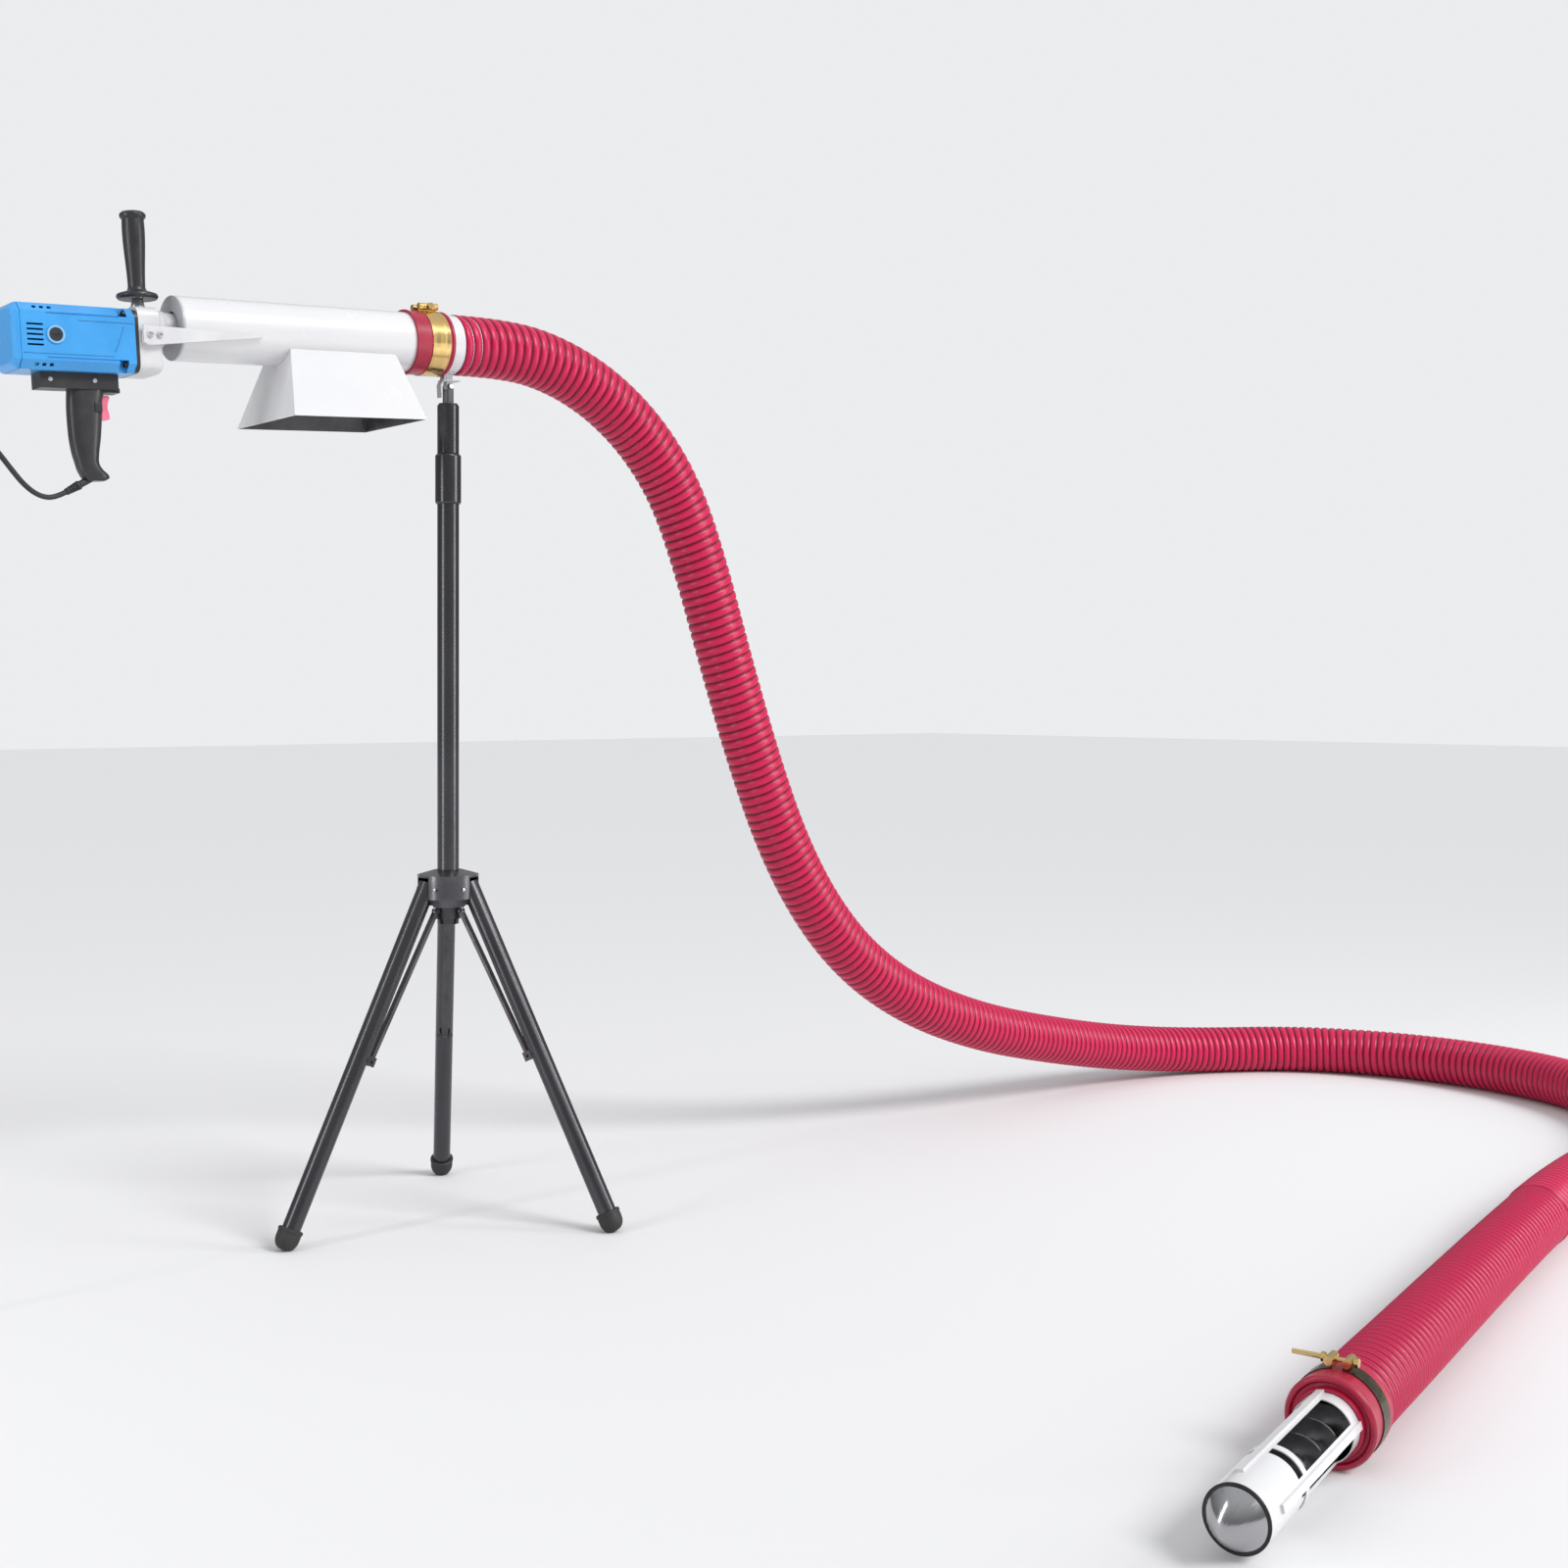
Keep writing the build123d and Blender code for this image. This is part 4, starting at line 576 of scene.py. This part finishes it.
hoseRun = routeCurve("hoseRun", hoseRoute)
hosePath = pointsAlong(hoseRun)
hoseSizes = {"Radius": hoseShape["radius"], "Pitch": hoseShape["pitch"],
             "Rib Height": hoseShape["ribHeight"], "Sides": hoseShape["sides"],
             "Rows": hoseShape["rows"], "Fine From": hoseShape["fineFrom"],
             "Flatness": hoseShape["flatness"]}
hoseTree = wrapTree("ribbedHose", hoseSizes, materials["crimson_hose"], hoseProfile)
hose = hoseTree.grow(hoseRun, "ribbed_hose")
print("hose:", len(hose.data.polygons), "faces")

spiralShape = {"radius": 0.032, "sheet": 0.006, "width": 0.010, "pitch": 0.055, "sides": 20,
               "step": 0.01}


def woundWire():  # a closed ribbon wound about the route inside the hose
    tree = Tree("woundWire", {"Radius": spiralShape["radius"], "Pitch": spiralShape["pitch"],
                              "Width": spiralShape["width"], "Sheet": spiralShape["sheet"],
                              "Sides": spiralShape["sides"]})
    smooth = tree.node("GeometryNodeResampleCurve", {"Curve": tree.given("Geometry"),
                                                     "Length": spiralShape["step"]}, mode="LENGTH")
    length = tree.node("GeometryNodeCurveLength", {"Curve": smooth.outputs[0]}).outputs[0]
    turns = tree.math("DIVIDE", length, tree.given("Pitch"))
    steps = tree.math("CEIL", tree.math("MULTIPLY", turns, tree.given("Sides")))
    line = tree.node("GeometryNodeCurvePrimitiveLine", mode="POINTS")
    counted = tree.node("GeometryNodeResampleCurve", {"Curve": line.outputs[0], "Count": steps})
    share = tree.node("GeometryNodeSplineParameter").outputs["Factor"]
    along = tree.math("MULTIPLY", share, length)
    sample = tree.node("GeometryNodeSampleCurve", {"Curves": smooth.outputs[0], "Length": along},
                       mode="LENGTH")
    angle = tree.math("MULTIPLY", tree.math("DIVIDE", along, tree.given("Pitch")), 2 * math.pi)
    side = tree.vector("CROSS_PRODUCT", sample.outputs["Tangent"], sample.outputs["Normal"])
    outward = tree.vector("ADD", tree.scaled(sample.outputs["Normal"], tree.math("COSINE", angle)),
                          tree.scaled(side, tree.math("SINE", angle)))
    halfSheet = tree.math("MULTIPLY", tree.given("Sheet"), 0.5)
    middle = tree.math("SUBTRACT", tree.given("Radius"), halfSheet)
    place = tree.vector("ADD", sample.outputs["Position"], tree.scaled(outward, middle))
    wound = tree.node("GeometryNodeSetPosition",
                      {"Geometry": counted.outputs[0], "Position": place})
    section = tree.node("GeometryNodeCurvePrimitiveQuadrilateral",
                        {"Width": tree.given("Sheet"), "Height": tree.given("Width")})
    ribbon = tree.node("GeometryNodeCurveToMesh", {"Curve": wound.outputs[0],
                                                   "Profile Curve": section.outputs[0],
                                                   "Fill Caps": True})
    tree.close(ribbon.outputs[0], materials["spring_steel"])
    return tree


spiral = woundWire().grow(hoseRun, "feed_spiral")
discard(hoseRun)
settle(hose, "machine", "crimson_hose", "hose")
settle(spiral, "machine", "spring_steel", "flexible_spiral")
print("hose length:", round(lengthOf(hosePath), 3))

# each turn of the coil has a radius and a height, and eases into the next in its last part
cordShape = {"diameter": 0.008, "coilAt": (-0.985, 0.020), "turnPoints": 12, "easeFrom": 0.6,
             "turns": [(0.044, 0.020), (0.048, 0.012), (0.040, 0.012), (0.040, 0.0042),
                       (0.048, 0.0042)]}
bootSeat = {"angle": math.radians(62), "foot": (-0.632, -0.236)}


def alongBoot(distance):  # from the grip's foot out along the strain relief
    footX, footZ = bootSeat["foot"]
    return onMachine(footX + distance * math.sin(bootSeat["angle"]), 0,
                     footZ + distance * math.cos(bootSeat["angle"]))


# clockwise from the side that faces the tripod's front, down to the outer turn
def coilPoints():
    points = []
    count, turns = cordShape["turnPoints"], cordShape["turns"]
    centreX, centreY = cordShape["coilAt"]
    for number, (radius, height) in enumerate(turns):
        last = number == len(turns) - 1
        nextRadius, nextHeight = turns[number if last else number + 1]
        for step in range(count // 4 + 1 if last else count):
            share = max(0.0, (step / count - cordShape["easeFrom"]) / (1 - cordShape["easeFrom"]))
            ease = share * share * (3 - 2 * share)
            reach = radius + (nextRadius - radius) * ease
            level = height + (nextHeight - height) * ease
            angle = math.radians(-90 - 360 * step / count)
            points.append(fromMast(centreX + reach * math.cos(angle),
                                   centreY + reach * math.sin(angle), level))
    return points


cordRoute = [
    alongBoot(-0.038), alongBoot(-0.062),
    *[fromMast(*point) for point in (
        (-0.698, -0.002, 1.195), (-0.721, -0.005, 1.210), (-0.742, -0.009, 1.233),
        (-0.769, -0.012, 1.265), (-0.805, -0.013, 1.288), (-0.851, -0.012, 1.292),
        (-0.889, -0.009, 1.264), (-0.907, -0.004, 1.216), (-0.909, 0, 1.150),
        (-0.903, 0.005, 1.050), (-0.908, 0.008, 0.940), (-0.904, 0.006, 0.828),
        (-0.909, 0.003, 0.716), (-0.905, 0, 0.604), (-0.910, -0.005, 0.492),
        (-0.906, -0.010, 0.380), (-0.909, -0.016, 0.268), (-0.904, -0.022, 0.172),
        (-0.905, -0.028, 0.097), (-0.912, -0.033, 0.053), (-0.930, -0.035, 0.030),
        (-0.956, -0.030, 0.021))],
    *coilPoints(),
    fromMast(-1.033, 0.045, 0.007), fromMast(-1.033, 0.074, 0.009),
]
powerCord = routeCurve("power_lead", cordRoute)
cordPath = pointsAlong(powerCord)  # taken while the curve has no thickness
powerCord.data.bevel_depth = cordShape["diameter"] / 2
powerCord.data.bevel_resolution = 4
powerCord.data.use_fill_caps = True
print("power cord length:", round(lengthOf(cordPath), 3))
settle(powerCord, "machine", "black_rubber", "power_cord", "cord_coil")

# how wide the broken edges are on the CAD pieces that are seen
edgeWidths = {
    "lower_mast": 0.0006, "hub": 0.0014, "hub_pins": 0.0006, "brace_slider": 0.0006,
    "upper_mast": 0.0006, "lock_sleeve": 0.0008, "swivel_fork": 0.0006, "fork_pin": 0.0006,
    "hanger_lug": 0.0008,
    "discharge_tube": 0.0005, "end_plate": 0.0006, "spout": 0.0007, "side_straps": 0.0018,
    "strap_bolts": 0.0005, "joint_sleeve": 0.0008, "inlet_neck": 0.0006, "gearbox_housing": 0.0016,
    "body_screws": 0.0003, "mid_plate": 0.0008, "motor_housing": 0.0012, "rear_cover": 0.0045,
    "brush_caps": 0.0006, "side_stud": 0.0006, "side_grip": 0.0010, "lock_button": 0.0006,
    "clamp_bands": 0.0004, "clamp_bolts": 0.0005, "hose_cuff": 0.0012, "head_cage": 0.0006,
    "nose_cone": 0.0006, "cord_boot": 0.0005, "plug": 0.0008,
}
for number in (1, 2, 3):
    edgeWidths[f"leg_{number}"] = 0.0006
    edgeWidths[f"strut_{number}"] = 0.0005
finished = {node: rounded(node, width) for node, width in edgeWidths.items()}
print("rounded pieces:", len(finished))


def repaint(piece, slot, frameMatrix, chosen):  # a second finish, or painted shade, on the faces that a test picks
    toPart = frameMatrix.inverted()
    turn = toPart.to_3x3()
    piece.data.materials.append(materials[slot])
    local = [toPart @ vertex.co for vertex in piece.data.vertices]
    for face in piece.data.polygons:
        if chosen([local[index] for index in face.vertices], turn @ face.normal):
            face.material_index = len(piece.data.materials) - 1


# where the second finishes and the painted shade start and stop, in the head's and the machine's
# own frames
headParts = {"bandEnd": 0.1, "bandReach": 0.0556, "cageInside": 0.0368, "rim": (0.2880, 0.2936)}
spoutMiddle = -0.222


def onBand(corners, normal):  # the head's own band, without its rolled ends
    inRing = [abs(at.x) < headParts["bandEnd"] and at.yz.length < headParts["bandReach"]
              for at in corners]
    return all(inRing) or (any(inRing) and abs(normal.x) > 0.9)


# painted shade: the cage's inner faces are given the near-black ribbon colour
def cageInsidePaintedShade(corners, normal):
    inside = all(at.yz.length < headParts["cageInside"] for at in corners)
    return inside and normal.yz.dot(corners[0].yz) < 0


def onRim(corners, normal):
    low, high = headParts["rim"]
    return all(low < at.x < high for at in corners)


# painted shade: the spout's inner faces that look downward are given dark steel
def spoutInsidePaintedShade(corners, normal):
    middle = sum(corners, Vector()) / len(corners)
    outward = Vector((middle.x - spoutMiddle, middle.y))
    return normal.z < -0.02 and normal.xy.dot(outward) < 0


repaint(finished["clamp_bands"], "dark_bronze", headMatrix, onBand)
# painted shade on the inside of the cage
repaint(finished["head_cage"], "black_ribbon", headMatrix, cageInsidePaintedShade)
repaint(finished["nose_cone"], "black_ribbon", headMatrix, onRim)
# painted shade on the inside of the spout
repaint(finished["spout"], "dark_steel", machineMatrix, spoutInsidePaintedShade)
finished["body_screws"].data.materials[0] = materials["black_ribbon"]

# pistol grip: two smooth halves with a saddle under the motor
gripShape = {
    # height, back, front and half width of each section, in the machine's own frame
    "sections": [(-0.098, -0.658, -0.602, 0.0165), (-0.120, -0.6595, -0.6075, 0.0168),
                 (-0.141, -0.660, -0.609, 0.0168), (-0.173, -0.659, -0.6125, 0.0162),
                 (-0.196, -0.656, -0.6165, 0.0156), (-0.212, -0.652, -0.6175, 0.0150),
                 (-0.222, -0.6495, -0.612, 0.0147), (-0.229, -0.6465, -0.6045, 0.0143),
                 (-0.235, -0.643, -0.6030, 0.0138), (-0.239, -0.637, -0.6100, 0.0120)],
    "between": 4, "steps": 18, "squareness": 2.7, "seam": 0.0002,
    # spans along x, half width or depths, spans of height
    "saddle": ((-0.704, -0.586), 0.019, (-0.102, -0.0785)),
    "lug": ((-0.618, -0.583), 0.015, (-0.106, -0.099)),
    "pocket": ((-0.617, -0.570), 0.0078, (-0.1478, -0.1082)),
    "button": ((-0.6244, -0.6116), (-0.03, -0.0095), (-0.1364, -0.1216)),
    "slot": ((-0.626, -0.612), (0.0148, 0.03), (-0.1905, -0.1890)), "edge": 0.0009,
    "screwsAt": (-0.689, -0.622), "screwHeight": -0.089,
    "screwHead": [(0, -0.001), (0.0034, -0.001), (0.0034, 0.0004), (0.0026, 0.0010), (0, 0.0012)],
    "screwSides": 20, "cross": ((-0.0022, 0.0022), (-0.0004, 0.0004), (0.0006, 0.002)),
    "crossTurns": (20, 110),
}


def between(rows, steps):  # a smooth line through rows of values
    ends = [rows[0], *rows, rows[-1]]
    line = []
    for before, here, after, beyond in zip(ends, ends[1:], ends[2:], ends[3:]):
        for step in range(steps):
            t = step / steps
            line.append([0.5 * (2 * b + (c - a) * t + (2 * a - 5 * b + 4 * c - d) * t * t
                                + (3 * b - a - 3 * c + d) * t * t * t)
                         for a, b, c, d in zip(before, here, after, beyond)])
    return line + [list(rows[-1])]


def squared(value):
    return math.copysign(abs(value) ** (2 / gripShape["squareness"]), value)


def gripBlank(side):
    shape = bmesh.new()
    rings = []
    around = gripShape["steps"]
    for height, back, front, half in between(gripShape["sections"], gripShape["between"]):
        ring = []
        for step in range(around + 1):
            angle = math.pi * step / around
            x = (front + back) / 2 + (front - back) / 2 * squared(math.cos(angle))
            y = gripShape["seam"] + half * squared(max(0.0, math.sin(angle)))
            ring.append(shape.verts.new((x, side * y, height)))
        rings.append(ring)
    for upper, lower in zip(rings, rings[1:]):
        for step in range(len(upper)):
            after = (step + 1) % len(upper)
            shape.faces.new((upper[step], upper[after], lower[after], lower[step]))
    shape.faces.new(rings[0])
    shape.faces.new(rings[-1])
    bmesh.ops.recalc_face_normals(shape, faces=shape.faces)
    return meshObject("gripBlank", shape)


def gripHalf(side, name, node):
    def span(half):
        return sorted((side * gripShape["seam"], side * half))

    half = gripBlank(side)
    for part in ("saddle", "lug"):
        spanX, width, spanZ = gripShape[part]
        half = combined(half, solidBox(part, spanX, span(width), spanZ), "UNION")
    spanX, width, spanZ = gripShape["pocket"]
    half = combined(half, solidBox("pocket", spanX, (-width, width), spanZ), "DIFFERENCE")
    if side < 0:
        half = combined(half, solidBox("button", *gripShape["button"]), "DIFFERENCE")
    spanX, spanY, spanZ = gripShape["slot"]
    slotY = sorted(side * y for y in spanY)
    half = combined(half, solidBox("slot", spanX, slotY, spanZ), "DIFFERENCE")
    piece = softened(half, name, gripShape["edge"])
    piece.data.transform(machineMatrix)
    return settle(piece, "machine", "black_plastic", node)


gripHalf(-1, "grip_half_left", "grip_left")
gripHalf(1, "grip_half_right", "grip_right")


def facingOut(seat, side):  # turns a lathed shape's top to the machine's left or right
    return Matrix.Translation(seat) @ Matrix.Rotation(math.radians(-90 * side), 4, "X")


def gripScrews():  # cross-head screws set in the saddle's sides
    joined = bmesh.new()
    for side in (-1, 1):
        for x in gripShape["screwsAt"]:
            head = lathe("screwHead", gripShape["screwHead"], gripShape["screwSides"])
            for turn in gripShape["crossTurns"]:
                cut = solidBox("cut", *gripShape["cross"])
                cut.data.transform(Matrix.Rotation(math.radians(turn), 4, "Z"))
                head = combined(head, cut, "DIFFERENCE")
            seat = (x, side * gripShape["saddle"][1], gripShape["screwHeight"])
            head.data.transform(facingOut(seat, side))
            joined.from_mesh(head.data)
            discard(head)
    piece = meshObject("grip_screws", joined)
    piece.data.transform(machineMatrix)
    smoothUpTo(piece.data, 30)
    piece.data.materials.append(materials["zinc"])
    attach(piece, "machine")


gripScrews()

triggerShape = {"back": -0.6105, "halfWidth": 0.0068, "edge": 0.0014, "steps": 4,
                "front": [(-0.1465, -0.6010), (-0.1440, -0.5975), (-0.1360, -0.5985),
                          (-0.1280, -0.6000), (-0.1200, -0.5990), (-0.1130, -0.5965),
                          (-0.1095, -0.5985)]}


def triggerBlade():
    shape = bmesh.new()
    line = between(triggerShape["front"], triggerShape["steps"])
    back, width = triggerShape["back"], triggerShape["halfWidth"]
    outline = [(back, line[0][0]), *[(x, z) for z, x in line], (back, line[-1][0])]
    left = [shape.verts.new((x, -width, z)) for x, z in outline]
    right = [shape.verts.new((x, width, z)) for x, z in outline]
    shape.faces.new(left)
    shape.faces.new(right)
    for index in range(len(outline)):
        after = (index + 1) % len(outline)
        shape.faces.new((left[index], left[after], right[after], right[index]))
    bmesh.ops.recalc_face_normals(shape, faces=shape.faces)
    blank = meshObject("triggerBlank", shape)
    piece = softened(blank, "trigger_blade", triggerShape["edge"], 3)
    piece.data.transform(machineMatrix)
    return settle(piece, bodyOf["trigger"], "pink_plastic", "trigger")


triggerBlade()
print("grip made")

# motor trim: a ring round each brush cap, and the parting lines
trimShape = {"ringAt": (-0.687, 0.0474, -0.027), "ring": (0.0104, 0.0134, 0.0014),
             "ringSides": 48, "ringEdge": 0.0006, "shoulder": 0.6, "weld": 0.000001,
             "side": 0.0461, "width": 0.0011, "proud": 0.0003,
             "lines": [((-0.652, -0.0045), (-0.600, -0.0045), (-0.568, -0.0045)),
                       ((-0.584, -0.010), (-0.588, -0.022), (-0.593, -0.036), (-0.599, -0.049)),
                       ((-0.735, -0.0555), (-0.650, -0.0555), (-0.600, -0.0555))]}


def brushRings():
    x, y, z = trimShape["ringAt"]
    inner, outer, height = trimShape["ring"]
    edge, shoulder = trimShape["ringEdge"], height * trimShape["shoulder"]
    profile = [(inner, 0), (outer, 0), (outer, shoulder), (outer - edge, height),
               (inner + edge, height), (inner, shoulder), (inner, 0)]
    joined = bmesh.new()
    for side in (-1, 1):
        ring = lathe("ring", profile, trimShape["ringSides"])
        ring.data.transform(facingOut((x, side * y, z), side))
        joined.from_mesh(ring.data)
        discard(ring)
    bmesh.ops.remove_doubles(joined, verts=joined.verts, dist=trimShape["weld"])
    piece = meshObject("brush_rings", joined)
    piece.data.transform(machineMatrix)
    smoothUpTo(piece.data, 40)
    piece.data.materials.append(materials["pale_blue"])
    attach(piece, "machine")


def seamTree():  # a shallow strip along each parting line
    tree = Tree("partingLines", {"Width": trimShape["width"], "Proud": trimShape["proud"]})
    section = tree.node("GeometryNodeCurvePrimitiveQuadrilateral",
                        {"Width": tree.given("Width"), "Height": tree.given("Proud")})
    strip = tree.node("GeometryNodeCurveToMesh", {"Curve": tree.given("Geometry"),
                                                  "Profile Curve": section.outputs[0],
                                                  "Fill Caps": True})
    tree.close(strip.outputs[0], materials["deep_blue"])
    return tree


def partingLines():
    data = bpy.data.curves.new("partingLines", "CURVE")
    data.dimensions = "3D"
    for side in (-1, 1):
        for line in trimShape["lines"]:
            spline = data.splines.new("POLY")
            spline.points.add(len(line) - 1)
            for control, (x, z) in zip(spline.points, line):
                control.co = (x, side * trimShape["side"], z, 1)
    drawn = bpy.data.objects.new("partingLines", data)
    scene.collection.objects.link(drawn)
    piece = seamTree().grow(drawn, "parting_lines")
    discard(drawn)
    piece.data.transform(machineMatrix)
    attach(piece, "machine")


brushRings()
partingLines()

# domed rubber feet on the legs
legShape = {"hinge": (0.0435, 0.567), "reach": 0.312, "azimuths": (62, 182, 302)}
footShape = {"radius": 0.0198, "lip": 0.0208, "bore": 0.0157, "boreDepth": 0.003, "length": 0.037,
             "lipHeight": 0.005, "lipEdge": 0.0015, "step": 0.001, "rows": 9, "sides": 44,
             "squareness": 0.72}


def domedFoot(number, azimuth):
    out, up = legShape["hinge"]
    legLength = math.hypot(legShape["reach"] - out, up)
    spreadAngle = math.atan2(legShape["reach"] - out, up)
    radius, lip, bore = footShape["radius"], footShape["lip"], footShape["bore"]
    edge = footShape["lipEdge"]
    top = footShape["length"] - legLength
    lipFoot = top - footShape["lipHeight"]
    centre = radius / math.cos(spreadAngle) - legLength
    profile = [(bore, top - footShape["boreDepth"]), (bore, top), (lip - edge, top),
               (lip, top - edge), (lip, lipFoot), (radius, lipFoot - footShape["step"])]
    for row in range(footShape["rows"]):
        angle = math.pi / 2 * row / footShape["rows"]
        profile.append((radius * math.cos(angle) ** footShape["squareness"],
                        centre - radius * math.sin(angle)))
    profile.append((0, centre - radius))
    piece = lathe(f"rubber_foot_{number}", profile, footShape["sides"])
    turned = Matrix.Rotation(math.radians(azimuth), 4, "Z")
    leaned = Matrix.Rotation(-spreadAngle, 4, "Y")
    piece.data.transform(Matrix.Translation(fromMast(0, 0, 0)) @ turned
                         @ Matrix.Translation((out, 0, up)) @ leaned)
    for vertex in piece.data.vertices:  # the dome is pressed flat where it stands
        vertex.co.z = max(0.0, vertex.co.z)
    smoothUpTo(piece.data, 40)
    return settle(piece, f"leg_{number}", "black_rubber", f"foot_{number}")


for number, azimuth in enumerate(legShape["azimuths"], 1):
    domedFoot(number, azimuth)
print("trim and feet made")

# floor, light and camera
studio = {"floorColour": (0.74, 0.74, 0.75), "floorSize": 60, "floorRough": 0.7,
          "sky": (0.97, 0.98, 1.0), "backdrop": 0.86, "zenith": 0.80, "horizon": 0.22,
          "sun": 2.0, "sunSize": 0.4, "sunWay": (-1.1, 3.7, -3.4),
          # place, target, width and height, watts
          "strips": {"stripLeft": ((-3.4, -0.2, 1.3), (0, 0, 0.9), (0.30, 3.0), 40),
                     "stripRight": ((3.2, -3.4, 1.6), (0.4, -0.6, 0.8), (0.80, 3.0), 70)}}
viewpoint = {"place": (-1.7254, -2.9554, 0.900), "azimuth": -40, "lens": 45, "sensor": 36,
             "shift": -0.0575, "farthest": 60}


def makeFloor():
    mesh = bpy.data.meshes.new("floor")
    half = studio["floorSize"] / 2
    corners = [(-half, -half, 0), (half, -half, 0), (half, half, 0), (-half, half, 0)]
    mesh.from_pydata(corners, [], [(0, 1, 2, 3)])
    floor = bpy.data.objects.new("floor", mesh)
    scene.collection.objects.link(floor)
    material, _, shader = newMaterial("floor_paint")
    shader.inputs["Base Color"].default_value = (*studio["floorColour"], 1)
    shader.inputs["Roughness"].default_value = studio["floorRough"]
    mesh.materials.append(material)


def areaLight(name, place, target, size, power):
    data = bpy.data.lights.new(name, "AREA")
    data.shape = "RECTANGLE"
    data.size, data.size_y = size
    data.energy = power
    light = bpy.data.objects.new(name, data)
    light.location = place
    light.rotation_euler = (Vector(target) - Vector(place)).to_track_quat("-Z", "Y").to_euler()
    scene.collection.objects.link(light)


def makeLight():
    world = bpy.data.worlds.new("studio")
    world.use_nodes = True
    tree = world.node_tree
    lamp = tree.nodes["Background"]
    lamp.inputs["Color"].default_value = (*studio["sky"], 1)
    where = addNode(tree, "ShaderNodeTexCoord")
    split = addNode(tree, "ShaderNodeSeparateXYZ")
    tree.links.new(where.outputs["Generated"], split.inputs[0])
    height = spread(tree, split.outputs["Z"], studio["horizon"], studio["zenith"], 0.0, 0.9)
    seen = addNode(tree, "ShaderNodeLightPath")
    strength = addNode(tree, "ShaderNodeMix")  # the backdrop is bright, and lights the object less
    strength.inputs["B"].default_value = studio["backdrop"]
    tree.links.new(height, strength.inputs["A"])
    tree.links.new(seen.outputs["Is Camera Ray"], strength.inputs["Factor"])
    tree.links.new(strength.outputs["Result"], lamp.inputs["Strength"])
    scene.world = world
    data = bpy.data.lights.new("key", "SUN")
    data.energy = studio["sun"]
    data.angle = studio["sunSize"]
    key = bpy.data.objects.new("key", data)
    key.rotation_euler = Vector(studio["sunWay"]).to_track_quat("-Z", "Y").to_euler()
    scene.collection.objects.link(key)
    for name, (place, target, size, power) in studio["strips"].items():
        areaLight(name, fromMast(*place), fromMast(*target), size, power)
    scene.view_settings.view_transform = "Standard"


def makeCamera():
    data = bpy.data.cameras.new("camera")
    data.lens = viewpoint["lens"]
    data.sensor_width = viewpoint["sensor"]
    data.shift_y = viewpoint["shift"]
    data.clip_end = viewpoint["farthest"]
    camera = bpy.data.objects.new("camera", data)
    camera.location = fromMast(*viewpoint["place"])
    camera.rotation_euler = (math.radians(90), 0, math.radians(viewpoint["azimuth"]))
    scene.collection.objects.link(camera)
    scene.camera = camera


makeFloor()
makeLight()
makeCamera()
print("stage set")
